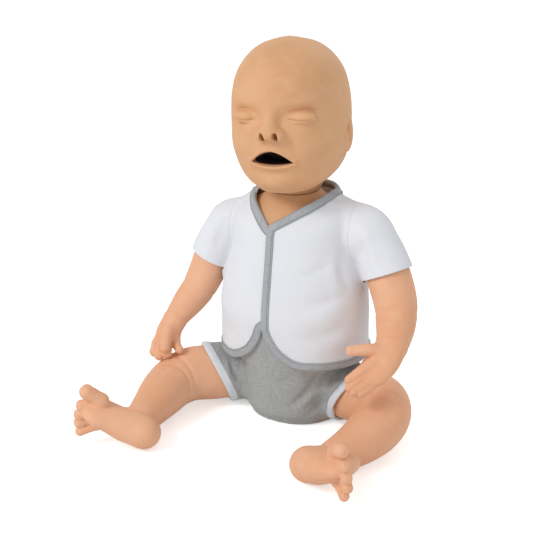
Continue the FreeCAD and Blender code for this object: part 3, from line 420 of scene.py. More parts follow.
def net(fine, low, step, field):
    inside = fine < 0
    count = np.zeros(tuple(n - 1 for n in fine.shape), int)
    span = [slice(0, -1), slice(1, None)]
    for i, j, k in CORNERS:
        count += inside[span[i], span[j], span[k]]
    cells = np.argwhere((count > 0) & (count < 8))
    number = np.full(count.shape, -1)
    number[tuple(cells.T)] = np.arange(len(cells))
    corner = np.stack([fine[tuple((cells + offset).T)] for offset in CORNERS], 1)
    total, hits = np.zeros((len(cells), 3)), np.zeros(len(cells))
    for a, b in EDGES:
        crossing = (corner[:, a] < 0) != (corner[:, b] < 0)
        share = np.where(crossing, corner[:, a] / np.where(crossing, corner[:, a] - corner[:, b], 1.0), 0.0)
        spot = CORNERS[a] + share[:, None] * (CORNERS[b] - CORNERS[a])
        total += spot * crossing[:, None]
        hits += crossing
    points = low + (cells + total / hits[:, None]) * step
    quads = []
    for axis in range(3):
        first, second = [a for a in range(3) if a != axis]
        ahead = np.take(inside, range(1, inside.shape[axis]), axis)
        here = np.take(inside, range(0, inside.shape[axis] - 1), axis)
        spots = np.argwhere(here != ahead)
        spots = spots[(spots[:, first] > 0) & (spots[:, second] > 0)]
        if not len(spots):
            continue
        shift_1, shift_2 = np.eye(3, dtype=int)[first], np.eye(3, dtype=int)[second]
        ring = [spots, spots - shift_1, spots - shift_1 - shift_2, spots - shift_2]
        ring = [np.minimum(r, np.array(number.shape) - 1) for r in ring]
        quad = np.stack([number[tuple(r.T)] for r in ring], 1)
        leaving = here[tuple(spots.T)]
        flip = leaving if axis != 1 else ~leaving
        quad[~flip] = quad[~flip][:, ::-1]
        quads.append(quad)
    quads = np.concatenate(quads)
    quads = quads[(quads >= 0).all(1)]
    return settle(field, points), quads


def halves(quads):
    """Two triangles for each quad."""
    return np.concatenate([quads[:, [0, 1, 2]], quads[:, [0, 2, 3]]])


def clipped(points, faces, value):
    """Part of the triangles where value is above zero, cut cleanly where it is zero."""
    value = np.where(np.abs(value) < 0.02, 0.02, value)
    keep = value > 0
    edges = np.sort(np.concatenate([faces[:, [0, 1]], faces[:, [1, 2]], faces[:, [2, 0]]]), 1)
    crossing = keep[edges[:, 0]] != keep[edges[:, 1]]
    unique, back = np.unique(edges[crossing], axis=0, return_inverse=True)
    share = value[unique[:, 0]] / (value[unique[:, 0]] - value[unique[:, 1]])
    made = points[unique[:, 0]] + (points[unique[:, 1]] - points[unique[:, 0]]) * share[:, None]
    number = np.full(len(edges), -1)
    number[crossing] = len(points) + back.ravel()
    number = number.reshape(3, -1).T
    kept = keep[faces]
    result = [faces[kept.all(1)]]
    for r in range(3):
        s, t = (r + 1) % 3, (r + 2) % 3
        one = kept[:, r] & ~kept[:, s] & ~kept[:, t]
        result.append(np.stack([faces[one, r], number[one, r], number[one, t]], 1))
        two = kept[:, r] & kept[:, s] & ~kept[:, t]
        result.append(np.stack([faces[two, r], faces[two, s], number[two, s]], 1))
        result.append(np.stack([faces[two, r], number[two, s], number[two, t]], 1))
    result = np.concatenate(result)
    everything = np.concatenate([points, made])
    used, compact = np.unique(result, return_inverse=True)
    return everything[used], compact.reshape(-1, 3)


def mesh_piece(name, points, faces, material, chart=None):
    """Object from points in millimetres, with an optional map value for each point."""
    mesh = bpy.data.meshes.new(name)
    faces = faces.tolist() if isinstance(faces, np.ndarray) else faces
    mesh.from_pydata((np.asarray(points) * 0.001).tolist(), [], faces)
    mesh.polygons.foreach_set("use_smooth", np.ones(len(mesh.polygons), bool))
    if chart is not None:
        layer = mesh.uv_layers.new(name="UVMap")
        corner = np.empty(len(mesh.loops), int)
        mesh.loops.foreach_get("vertex_index", corner)
        layer.data.foreach_set("uv", (np.asarray(chart) * 0.001)[corner].ravel())
    mesh.materials.append(material)
    mesh.validate()
    piece = bpy.data.objects.new(name, mesh)
    bpy.context.scene.collection.objects.link(piece)
    return piece


def baked(piece):
    """The piece with its modifiers made part of its mesh."""
    bpy.context.view_layer.update()
    evaluated = piece.evaluated_get(bpy.context.evaluated_depsgraph_get())
    mesh = bpy.data.meshes.new_from_object(evaluated)
    piece.modifiers.clear()
    piece.data = mesh
    return piece


def thicken(piece, thickness):
    """Cloth given its thickness, inwards from the modelled face."""
    solid = piece.modifiers.new("thickness", "SOLIDIFY")
    solid.thickness = thickness * 0.001
    solid.offset = -1.0
    solid.use_rim = True
    solid.use_even_offset = False
    return baked(piece)


# ---------------------------------------------------------------- the manikin's sizes

trunk_levels = [
    (2.6, 2.0, 41.0, 40.0), (12.0, 1.0, 46.0, 46.5), (30.0, 0.0, 47.0, 50.0), (48.0, -1.0, 47.0, 52.0),
    (60.0, -2.0, 48.5, 52.5), (69.0, -3.0, 59.0, 53.0), (79.0, -4.0, 67.5, 53.5), (96.0, -5.0, 70.0, 54.0),
    (120.0, -5.0, 70.5, 55.0), (145.0, -4.0, 69.0, 54.0), (165.0, -3.0, 64.0, 52.0), (180.0, -3.0, 61.0, 49.5),
    (192.0, -3.0, 60.0, 47.5), (203.0, -3.0, 59.5, 45.5), (212.0, -3.0, 57.5, 41.5), (219.0, -3.0, 51.5, 37.0),
    (225.0, -3.0, 41.0, 32.0), (231.0, -3.5, 29.0, 27.0), (235.5, -4.0, 24.0, 24.0),
]
fullness = 2.25
head_levels = [
    (244.0, -48.0, -5.0, 19.0), (248.0, -57.5, 13.0, 31.5), (255.0, -63.5, 30.0, 41.5),
    (265.0, -66.5, 43.0, 49.0), (277.0, -69.0, 50.0, 53.0), (291.0, -71.5, 55.5, 55.5),
    (306.0, -72.5, 59.5, 56.0), (321.0, -72.5, 61.0, 55.5), (336.0, -71.0, 59.5, 53.5),
    (349.0, -66.5, 54.5, 50.0), (360.0, -58.5, 45.5, 44.0), (369.0, -47.5, 34.0, 36.0),
    (376.0, -33.5, 20.0, 25.5), (380.0, -17.0, 4.0, 12.5),
]
neck_centre = np.array([0.0, -4.0, 254.0])
head_turn_rest, head_lean_rest = 9.0, 2.5
shoulder_plane, shoulder_y = 64.9, 2.0
shoulder_height = {"right": 198.0, "left": 206.0}
hip_plane, hip_height = 50.6, 30.8
thigh_sizes = (28.0, 27.2)
arm_lines = {
    "right": [(-78, 1, 187, 18.5, 18.5), (-90, -2, 163, 20, 20), (-99, -7, 138, 19, 19),
              (-106, -15, 119, 17.5, 17.5), (-113, -27, 105, 15.5, 15.5), (-119, -38, 93, 12, 12)],
    "left": [(82, 1, 194, 19, 19), (92, -1, 175, 21, 21), (103, -6, 154, 21.5, 21.5),
             (112, -15, 136, 20.5, 20.5), (118, -30, 122, 18.5, 18.5), (121, -44, 111, 15, 15)],
}
hand_lines = {
    "right": [(-118, -37, 95, 10.5, 10.5), (-122, -42, 86, 13, 12), (-125, -47, 77, 13.5, 12)],
    "left": [(121, -42, 113, 13, 12.5), (120, -50, 106, 15.5, 12), (117, -58, 98, 17, 10.5),
             (113, -65, 91, 16.5, 9)],
}
fingers = {
    "right": [[(-130, -49, 76), (-133, -57, 67), (-131, -65, 61), 6.0, 5.2],
              [(-127, -51, 73), (-127, -60, 64), (-124, -67, 59), 6.0, 5.2],
              [(-122, -50, 73), (-120, -59, 66), (-116, -65, 62), 5.8, 5.0],
              [(-117, -46, 75), (-112, -53, 68), (-106, -57, 65), 5.0, 4.4],
              [(-120, -54, 83), (-118, -63, 75), (-116, -68, 69), 6.4, 5.2]],
    "left": [[(112, -66, 99), (103, -75, 92), (94, -83, 84), 6.2, 4.6],
             [(111, -67, 93), (103, -77, 85), (96, -86, 78), 6.0, 4.6],
             [(112, -67, 88), (107, -78, 80), (101, -87, 75), 5.8, 4.5],
             [(114, -66, 84), (111, -76, 77), (106, -85, 73), 5.4, 4.2],
             [(115, -58, 108), (104, -66, 110), (91, -73, 109), 6.6, 5.0]],
}
leg_lines = {
    "right": [(-66, -11, 31, 28.5, 27.2), (-84, -27, 32, 28.5, 28), (-100, -43, 33.5, 27, 28),
              (-109, -62, 31, 25.5, 26.5), (-110, -84, 27.5, 23.5, 24.5),
              (-108, -108, 24, 19.5, 20), (-106, -126, 22.5, 16.5, 17), (-105, -142, 21, 15, 15)],
    "left": [(66, -7, 31, 28.5, 27.2), (86, -13, 32.5, 28.5, 28), (103, -23, 33.5, 27.5, 28),
             (112, -41, 32, 26.5, 27), (112, -62, 28, 25, 25.5), (106, -86, 24, 21, 21.5),
             (98, -108, 22, 17, 17.5), (91, -126, 21, 15, 15)],
}
foot_lines = {
    "right": [(-92, -147, 17, 15, 14), (-106, -151, 21.5, 16.5, 15.5), (-120, -155, 28, 18, 13),
              (-132, -159, 34, 20.5, 10.5)],
    "left": [(76, -133, 17.5, 16, 15), (88, -139, 21.5, 17.5, 16), (101, -145, 27, 19, 13.5),
             (112, -149, 32, 21, 10.5)],
}
toes = {
    "right": [[(-131, -160, 48), (-137, -164, 54), (-141, -168, 59), 7.5, 7.2],
              [(-135, -162, 42), (-142, -167, 46), (-146, -171, 45), 5.4, 5.4],
              [(-137, -162, 35), (-145, -168, 37), (-149, -172, 35), 5.2, 5.2],
              [(-137, -162, 28), (-146, -168, 28), (-150, -172, 26), 5.0, 5.0],
              [(-135, -161, 22), (-144, -167, 19), (-149, -172, 17), 4.8, 4.8]],
    "left": [[(111, -150, 47), (117, -155, 53), (120, -160, 56), 7.5, 7.2],
             [(116, -152, 40), (122, -158, 44), (125, -163, 43), 5.4, 5.4],
             [(118, -153, 33), (125, -160, 35), (128, -165, 33), 5.2, 5.2],
             [(118, -153, 26), (125, -160, 26), (129, -165, 24), 5.0, 5.0],
             [(115, -153, 19), (122, -160, 17), (126, -165, 15), 4.8, 4.8]],
}
sleeve_ends = {"right": ((-91, -2, 151), (-0.4, -0.15, -0.9)), "left": ((97, -4, 163), (0.4, -0.15, -0.9))}
hem_ends = {"right": ((-74, -31, 30), (-0.62, -0.60, -0.35)), "left": ((72, -8, 31), (0.85, -0.35, -0.40))}
vest_bottom = {"right": 69.0, "left": 72.0}
vest_edge = -7.0
vest_split, vest_point, collar_half, collar_height = 108.0, 209.0, 38.0, 237.0
back_bottom, back_top = 70.0, 235.5
side_seam = -2.0
binding_width = 8.0
cloth, cloth_gap = 2.2, 0.4


class Outline:
    """Level outlines of a body: middle depth, half width and half depth at any height."""

    def __init__(self, rows):
        rows = np.array(rows, float)
        heights = np.arange(rows[0, 0], rows[-1, 0] + 0.25, 0.5)
        columns = []
        for k in (1, 2, 3):
            slope = np.gradient(rows[:, k], rows[:, 0])
            index = np.clip(np.searchsorted(rows[:, 0], heights, "right") - 1, 0, len(rows) - 2)
            span = rows[index + 1, 0] - rows[index, 0]
            t = (heights - rows[index, 0]) / span
            start = (2 * t**3 - 3 * t**2 + 1) * rows[index, k] + (t**3 - 2 * t**2 + t) * slope[index] * span
            end = (3 * t**2 - 2 * t**3) * rows[index + 1, k] + (t**3 - t**2) * slope[index + 1] * span
            columns.append(start + end)
        self.heights, self.columns = heights, columns

    def at(self, height):
        return [np.interp(height, self.heights, column) for column in self.columns]


def lean_at(height):
    return radians(4.0) * step_up(height, 105.0, 185.0) * (1 - step_up(height, 210.0, 234.0))


def level_value(outline, points, grow, power):
    height = points[:, 2] - points[:, 0] * np.tan(lean_at(points[:, 2]))
    depth, half_width, half_depth = outline.at(height)
    across = np.abs(points[:, 0]) / (half_width + grow)
    along = np.abs(points[:, 1] - depth) / (half_depth + grow)
    return (across**power + along**power) ** (1 / power)


def level_field(outline, points, grow=0.0, power=fullness):
    """Distance, near the surface, to the body that the outlines describe."""
    value = level_value(outline, points, grow, power)
    slopes = []
    for axis in range(3):
        shift = np.zeros(3)
        shift[axis] = 0.6
        slopes.append((level_value(outline, points + shift, grow, power) - value) / 0.6)
    steep = np.sqrt(sum(slope * slope for slope in slopes)) + 1e-4
    return (value - 1.0) / np.maximum(steep, 0.008)


trunk_outline = Outline(trunk_levels)
vest_rows = [(46.0, -4.0, 75.6, 60.2), (58.0, -4.0, 75.6, 60.2), (70.0, -4.0, 75.6, 60.2)]
for height, depth, half_width, half_depth in trunk_levels:
    if height > 90.0:
        ease = 2.9 + 2.6 * (1 - float(step_up(height, 97.0, 165.0)))
        vest_rows.append((height, depth, half_width + ease, half_depth + ease))
vest_outline = Outline(vest_rows)


# ---------------------------------------------------------------- clothes


shoulder_drop = {"right": 7.0, "left": 5.5}
shoulder_round = {"right": 19.0, "left": 21.0}


def shoulder_ball(side):
    sign = SIDES[side]
    return np.array([sign * (shoulder_plane + 6.0), shoulder_y, shoulder_height[side] - shoulder_drop[side]])


def sleeve_field(points, side, grow):
    rows = [list(row) for row in arm_lines[side][:4]]
    for index, row in enumerate(rows):
        row[3] += grow + 0.3 * index
        row[4] += grow + 0.5 * index
    ball = np.linalg.norm(points - shoulder_ball(side), axis=1) - (shoulder_round[side] + grow)
    return soft_union(tube(points, rows), ball, 8.0)


vest_folds = [
    (-2.6, 4.5, (66, -30, 186), (69, -34, 170), (72, -30, 156)),
    (1.6, 6.0, (60, -40, 182), (63, -42, 166), (64, -40, 150)),
    (-1.3, 5.0, (58, -44, 178), (44, -52, 170), (30, -57, 166)),
    (-1.2, 6.0, (69, -34, 148), (52, -52, 140), (34, -60, 137)),
    (1.0, 8.0, (70, -30, 136), (50, -54, 126), (30, -62, 122)),
    (-1.2, 6.5, (73, -26, 118), (56, -50, 108), (36, -62, 104)),
    (1.0, 7.0, (74, -24, 102), (58, -48, 95), (40, -60, 92)),
    (-2.2, 4.5, (-63, -30, 180), (-67, -32, 166), (-69, -28, 150)),
    (1.2, 5.0, (-58, -40, 178), (-61, -42, 162), (-62, -40, 146)),
    (-1.1, 5.0, (-62, -38, 152), (-50, -50, 148), (-36, -56, 148)),
    (1.0, 7.0, (-68, -32, 126), (-50, -52, 118), (-30, -60, 116)),
    (-1.0, 7.0, (-70, -28, 104), (-52, -50, 96), (-34, -60, 94)),
    (-1.4, 6.0, (66, 30, 184), (70, 34, 164), (70, 36, 146)),
    (-1.4, 6.0, (-63, 30, 178), (-68, 34, 158), (-68, 36, 142)),
    (1.2, 8.0, (60, 42, 176), (30, 52, 150), (6, 56, 128)),
    (-1.2, 7.0, (-56, 44, 168), (-28, 52, 142), (-8, 56, 120)),
    (1.2, 7.0, (62, 44, 120), (30, 56, 104), (-6, 58, 96)),
    (-1.0, 6.0, (-64, 42, 112), (-34, 54, 98), (-8, 58, 92)),
    (1.5, 6.0, (78, -22, 214), (86, -24, 196), (92, -26, 176)),
    (-1.5, 5.0, (74, -24, 204), (80, -26, 188), (84, -27, 172)),
    (1.3, 6.0, (-74, -22, 206), (-82, -24, 186), (-88, -26, 166)),
    (-1.3, 5.0, (-70, -24, 198), (-76, -26, 180), (-80, -27, 164)),
    (-1.4, 5.0, (96, 20, 204), (102, 16, 186), (108, 10, 170)),
    (-1.4, 5.0, (-92, 20, 196), (-98, 16, 178), (-102, 10, 160)),
]


def vest_drape(points):
    """The vest and its sleeves as one smooth form."""
    found = level_field(vest_outline, points)
    # the loose stand of the neckline, higher behind the neck
    around = np.hypot(points[:, 0], points[:, 1] + 1.0)
    stand = np.hypot(around - 32.5, points[:, 2] - 228.5 - points[:, 0] * 0.07) - 9.0
    found = soft_union(found, stand, 12.0)
    for side in SIDES:
        sign = SIDES[side]
        yoke = round_cone(points, (sign * 38, 0, 223 + sign * 2.7), shoulder_ball(side), 11.0,
                          shoulder_round[side])
        found = soft_union(found, yoke, 8.0)
        found = soft_union(found, sleeve_field(points, side, cloth + cloth_gap + 0.3), 9.0)
    return found


def vest_field(points):
    """Outer face of the vest and its sleeves."""
    return vest_drape(points) - folds(points, vest_folds)


vest_folds = laid(vest_folds, vest_drape)


def armhole(points):
    """Above zero on the sleeve's side of the armhole seam."""
    value = np.full(len(points), -1e3)
    for side, sign in SIDES.items():
        away = np.hypot(points[:, 1] - shoulder_y, points[:, 2] - shoulder_height[side])
        plane = shoulder_plane - 0.6 + 12.1 * np.clip((away - 30.0) / 30.0, 0.0, 1.0)
        value = np.where(points[:, 0] * sign > 0, points[:, 0] * sign - plane, value)
    return value


# rounded front corner of the hem: root of the height above the hem, and the reach from the opening
hem_corner = ([0.0, 1.2, 2.65, 3.6, 4.69, 5.5, 6.2], [44.0, 33.0, 22.0, 13.5, 7.0, 2.4, 0.0])


def hem_reach(height, low):
    """How far from the opening the rounded front corner starts, at a height above the hem."""
    rise = np.sqrt(np.clip(height - low, 0.0, None))
    return np.interp(rise, *hem_corner)


def neck_line(x):
    """Height of the V neck over a place across the chest."""
    left = np.clip((x - vest_edge) / (collar_half - vest_edge), 0, 2)
    right = np.clip((vest_edge - x) / (collar_half + vest_edge), 0, 2)
    return vest_point + (collar_height - vest_point) * np.where(x > vest_edge, left, right)


def vest_regions(points):
    """Values above zero inside each piece of the vest."""
    x, y, z = points.T
    front = side_seam - y
    body = -armhole(points)
    right = np.minimum.reduce([front, body, vest_edge + 1.5 - x, neck_line(x) - z, z - vest_bottom["right"],
                               (vest_edge - x) - hem_reach(z, vest_bottom["right"])
                               + np.where(z > vest_split, 3.0, 0.0)])
    left = np.minimum.reduce([front, body, x - vest_edge, neck_line(x) - z, z - vest_bottom["left"],
                              (x - vest_edge) - hem_reach(z, vest_bottom["left"])])
    back = np.minimum.reduce([y - side_seam, body, z - back_bottom, back_top + 0.07 * x - z])
    regions = {"vest_front_right": right, "vest_front_left": left, "vest_back": back}
    for side, sign in SIDES.items():
        point, normal = sleeve_ends[side]
        beyond = (points - np.array(point)) @ unit(normal)
        regions["sleeve_" + side] = np.minimum.reduce([armhole(points), x * sign, -beyond])
    return regions


def body_chart(points):
    """Flat map round a body: distance round the middle line, and height."""
    around = np.arctan2(points[:, 0], -points[:, 1] - 4.0)
    return np.stack([around * 62.0, points[:, 2]], 1)


def resampled(line, step=1.5, closed=False, rounds=3):
    line = np.asarray(line, float)
    if closed:
        line = np.concatenate([line, line[:1]])
    runs = np.linalg.norm(np.diff(line, axis=0), axis=1)
    reach = np.concatenate([[0.0], np.cumsum(runs)])
    count = max(8, int(reach[-1] / step))
    marks = np.linspace(0.0, reach[-1], count + 1)
    line = np.stack([np.interp(marks, reach, line[:, k]) for k in range(3)], 1)
    if closed:
        line = line[:-1]
    for _ in range(rounds):
        if closed:
            line = (np.roll(line, 1, 0) + line * 2 + np.roll(line, -1, 0)) / 4
        else:
            line[1:-1] = (line[:-2] + line[1:-1] * 2 + line[2:]) / 4
    return line


def front_height(field, x, z):
    """Places on the field's front side over points of the XZ plane."""
    x, z = np.asarray(x, float), np.asarray(z, float)
    far, near = np.full(len(x), -95.0), np.full(len(x), -3.0)
    for _ in range(26):
        middle = (far + near) / 2
        outside = field(np.stack([x, middle, z], 1)) > 0
        far, near = np.where(outside, middle, far), np.where(outside, near, middle)
    return np.stack([x, near, z], 1)


def ring_points(field, angles, heights, centre=(0.0, -4.0)):
    """Places on the field along level rays at each angle; angle 0 faces the front, 90 the left."""
    angles = np.radians(np.asarray(angles, float))
    centre, heights = np.array(centre), np.asarray(heights, float)[:, None]
    way = np.stack([np.sin(angles), -np.cos(angles)], 1)
    near, far = np.full(len(angles), 8.0), np.full(len(angles), 110.0)
    for _ in range(26):
        middle = (near + far) / 2
        inside = field(np.concatenate([centre + way * middle[:, None], heights], 1)) < 0
        near, far = np.where(inside, middle, near), np.where(inside, far, middle)
    return np.concatenate([centre + way * near[:, None], heights], 1)


def evened(ways, closed):
    """Unit directions along a line, each drawn towards its neighbours."""
    before, after = np.roll(ways, 1, 0), np.roll(ways, -1, 0)
    if not closed:
        before[0], after[-1] = ways[0], ways[-1]
    ways = before + ways * 2 + after
    return ways / np.linalg.norm(ways, axis=1)[:, None]


def ribbon(name, field, line, inward, material, width=binding_width, closed=False, proud=0.95,
           wrap=2.3):
    """Bound edge: a strip folded round the cloth's edge, its width running inward from the line."""
    line = settle(field, line)
    count = len(line)
    ahead = np.roll(line, -1, 0) - np.roll(line, 1, 0)
    if not closed:
        ahead[0], ahead[-1] = line[1] - line[0], line[-1] - line[-2]
    ahead /= np.linalg.norm(ahead, axis=1)[:, None]
    out = gradient(field, line)
    out /= np.linalg.norm(out, axis=1)[:, None]
    side = np.cross(out, ahead)
    for _ in range(10):
        out, side = evened(out, closed), evened(side, closed)
    if ((side * (inward - line)).sum(1)).mean() < 0:
        side = -side
    # across and up from the edge: over the outer face, round the edge and back under the cloth
    section = np.array([
        (width, 0.05), (width - 0.15, proud * 0.75), (width - 0.9, proud), (width * 0.5, proud * 1.08),
        (1.0, proud * 1.05), (0.1, proud * 0.75), (-0.55, 0.0), (-0.75, -wrap * 0.5), (-0.45, -wrap),
        (0.6, -wrap - 0.35), (width * 0.5, -wrap - 0.3), (width - 0.3, -wrap - 0.1), (width, -wrap + 0.4)])
    rows = []
    chart = []
    lengths = np.concatenate([[0.0], np.cumsum(np.linalg.norm(np.diff(line, axis=0), axis=1))])
    for across, rise in section:
        foot = settle(field, line + side * np.clip(across, 0.0, None), 2)
        rows.append(foot + side * min(across, 0.0) + out * rise)
        chart.append(np.stack([lengths, np.full(count, across + rise)], 1))
    points = np.stack(rows, 1).reshape(-1, 3)
    chart = np.stack(chart, 1).reshape(-1, 2)
    size = len(section)
    faces = []
    last = count if closed else count - 1
    for i in range(last):
        j = (i + 1) % count
        for k in range(size):
            m = (k + 1) % size
            faces.append((i * size + k, j * size + k, j * size + m, i * size + m))
    if not closed:
        faces.append(tuple(range(size)))
        faces.append(tuple(reversed(range(size * (count - 1), size * count))))
    piece = mesh_piece(name, points, faces, material, chart)
    return outward(piece), settle(field, line + side * (width - 1.3)) + out * (proud + 0.1)


def outward(piece):
    """Faces turned to point outwards."""
    work = bmesh.new()
    work.from_mesh(piece.data)
    bmesh.ops.recalc_face_normals(work, faces=work.faces)
    work.to_mesh(piece.data)
    work.free()
    return piece


def stitch_tree(material):
    """Row of small stitches along an edge line, each lying in the cloth."""
    tree = bpy.data.node_groups.new("stitch_row", "GeometryNodeTree")
    tree.interface.new_socket("Geometry", in_out="INPUT", socket_type="NodeSocketGeometry")
    pitch = tree.interface.new_socket("Pitch", in_out="INPUT", socket_type="NodeSocketFloat")
    length = tree.interface.new_socket("Stitch Length", in_out="INPUT", socket_type="NodeSocketFloat")
    thread = tree.interface.new_socket("Thread Radius", in_out="INPUT", socket_type="NodeSocketFloat")
    tree.interface.new_socket("Geometry", in_out="OUTPUT", socket_type="NodeSocketGeometry")
    nodes, links = tree.nodes, tree.links
    enter, leave = nodes.new("NodeGroupInput"), nodes.new("NodeGroupOutput")
    curve = nodes.new("GeometryNodeMeshToCurve")
    spaced = nodes.new("GeometryNodeResampleCurve")
    spaced.mode = "LENGTH"
    body = nodes.new("GeometryNodeMeshCylinder")
    body.inputs["Vertices"].default_value = 6
    place = nodes.new("GeometryNodeInstanceOnPoints")
    tangent = nodes.new("GeometryNodeInputTangent")
    turn = nodes.new("FunctionNodeAlignRotationToVector")
    turn.axis = "Z"
    real = nodes.new("GeometryNodeRealizeInstances")
    finish = nodes.new("GeometryNodeSetMaterial")
    finish.inputs["Material"].default_value = material
    links.new(enter.outputs["Geometry"], curve.inputs["Mesh"])
    links.new(curve.outputs["Curve"], spaced.inputs["Curve"])
    links.new(enter.outputs["Pitch"], spaced.inputs["Length"])
    links.new(spaced.outputs["Curve"], place.inputs["Points"])
    links.new(enter.outputs["Stitch Length"], body.inputs["Depth"])
    links.new(enter.outputs["Thread Radius"], body.inputs["Radius"])
    links.new(body.outputs["Mesh"], place.inputs["Instance"])
    links.new(tangent.outputs["Tangent"], turn.inputs["Vector"])
    links.new(turn.outputs["Rotation"], place.inputs["Rotation"])
    links.new(place.outputs["Instances"], real.inputs["Geometry"])
    links.new(real.outputs["Geometry"], finish.inputs["Geometry"])
    links.new(finish.outputs["Geometry"], leave.inputs["Geometry"])
    return tree, pitch.identifier, length.identifier, thread.identifier


def stitches(name, lines, tree_and_inputs, pitch=2.3, length=1.7, thread=0.22):
    tree, pitch_id, length_id, thread_id = tree_and_inputs
    points, edges = [], []
    for line in lines:
        start = len(points)
        points += (np.asarray(line) * 0.001).tolist()
        edges += [(start + i, start + i + 1) for i in range(len(line) - 1)]
    mesh = bpy.data.meshes.new(name)
    mesh.from_pydata(points, edges, [])
    piece = bpy.data.objects.new(name, mesh)
    bpy.context.scene.collection.objects.link(piece)
    modifier = piece.modifiers.new("stitches", "NODES")
    modifier.node_group = tree
    modifier[pitch_id] = pitch * 0.001
    modifier[length_id] = length * 0.001
    modifier[thread_id] = thread * 0.001
    return baked(piece)


def make_vest(look):
    step = 1.5
    points, quads = surface(vest_field, (-128, -74, 60), (132, 66, 246), step)
    faces = halves(quads)
    pieces = {}
    # each piece is cut from the same drape, so neighbours meet along their seams
    for name, value in vest_regions(points).items():
        kept_points, kept = clipped(points, faces, value)
        cloth_piece = mesh_piece(name + "_cloth", kept_points, kept, look["white"], body_chart(kept_points))
        pieces[name] = thicken(cloth_piece, 1.7)
    return pieces


def underarms(look):
    """Inner layer that closes each side where the raised sleeve draws away."""
    made = {}
    for side, sign in SIDES.items():
        low = np.array([min(sign * 50, sign * 84), -62, 118])
        high = np.array([max(sign * 50, sign * 84), 58, 222])
        points, quads = surface(lambda spots: level_field(vest_outline, spots) + 0.5, low, high, 1.8)
        away = np.hypot(points[:, 1] - shoulder_y, points[:, 2] - shoulder_height[side])
        edge = np.minimum.reduce([armhole(points) + 5.0, points[:, 2] - 124.0, away - 14.0])
        kept_points, kept = clipped(points, halves(quads), edge)
        chart = body_chart(kept_points)
        made[side] = thicken(mesh_piece("underarm_" + side, kept_points, kept, look["white"], chart), 1.2)
    return made


def vest_edges(look, tree):
    """Bound edges: round the neck and down each front, and along the hem."""
    made = {}
    seams = {}
    back_angles = np.linspace(100, 260, 60)
    neck_back = ring_points(vest_field, back_angles, back_top + 2.6 * np.sin(np.radians(back_angles)))
    lines = {}
    for side, sign in SIDES.items():
        low = vest_bottom[side]
        x_top = np.linspace(sign * 33.0, vest_edge + sign * 1.0, 26)
        neck = front_height(vest_field, x_top, neck_line(x_top) - 0.3)
        rise = np.linspace(6.3, 0.05, 40)
        height = low + rise**2
        x_hem = vest_edge + sign * (hem_reach(height, low) + 0.2)
        hem = front_height(vest_field, x_hem, height)
        straight_z = np.linspace(vest_point - 3, vest_split + 1.5, 40)
        straight = front_height(vest_field, np.full(40, vest_edge + sign * 0.2), straight_z)
        corner = hem[-1]
        start_angle = np.degrees(np.arctan2(corner[0], -(corner[1] + 4.0)))
        angles = np.linspace(start_angle + sign * 3, sign * 180, 60)
        share = np.clip((np.abs(angles) - 60) / 40, 0, 1)
        level = ring_points(vest_field, angles, low + (back_bottom - low) * share)
        lines[side] = (neck, straight, hem, level)
    left_neck, left_straight, left_hem, left_level = lines["left"]
    right_neck, _, right_hem, right_level = lines["right"]
    left = np.concatenate([neck_back[::-1][-46:], left_neck, left_straight, left_hem, left_level])
    left = resampled(left, rounds=10)
    made["left"], seams["left"] = ribbon("binding_left", vest_field, left, near_cloth(left), look["binding"],
                                         proud=1.5)
    tuck = front_height(vest_field, [-3.8, -0.5], [207.0, 204.8])
    right = np.concatenate([neck_back[-16:], right_neck, tuck])
    right = resampled(right, rounds=6)
    made["neck_right"], seams["neck_right"] = ribbon("binding_neck_right", vest_field, right,
                                                     near_cloth(right), look["binding"])
    tuck = front_height(vest_field, [1.5, -2.5], [115.0, 111.5])
    hem = resampled(np.concatenate([tuck, right_hem, right_level]), rounds=6)
    made["hem_right"], seams["hem_right"] = ribbon("binding_hem_right", vest_field, hem, near_cloth(hem),
                                                   look["binding"])
    seam_rows = stitches("binding_stitches", list(seams.values()), tree["grey"])
    return made, seam_rows


def near_cloth(line):
    """For each edge point, a place a little way in from the edge, over the cloth."""
    target = line.copy()
    for index, (x, y, z) in enumerate(line):
        if z > vest_point - 2:
            target[index] = (x * 1.25 + np.sign(x) * 4, y, z - 14)
        elif z > vest_split + 4:
            target[index] = (x + (6 if x > vest_edge - 3 else -6), y, z)
        else:
            target[index] = (x * 1.05 + (5 if x > vest_edge else -5), y, z + 12)
    return target


def round_ring(field, centre, normal, count=120):
    """Closed line where the field meets a plane round a limb."""
    centre, normal = np.array(centre, float), unit(normal)
    first = unit(np.cross(normal, (0.3, 1.0, 0.2)))
    second = np.cross(normal, first)
    angles = np.linspace(0, 2 * pi, count, endpoint=False)
    way = np.outer(np.cos(angles), first) + np.outer(np.sin(angles), second)
    near, far = np.full(count, 4.0), np.full(count, 48.0)
    for _ in range(26):
        middle = (near + far) / 2
        inside = field(centre + way * middle[:, None]) < 0
        near, far = np.where(inside, middle, near), np.where(inside, far, middle)
    return centre + way * near[:, None]


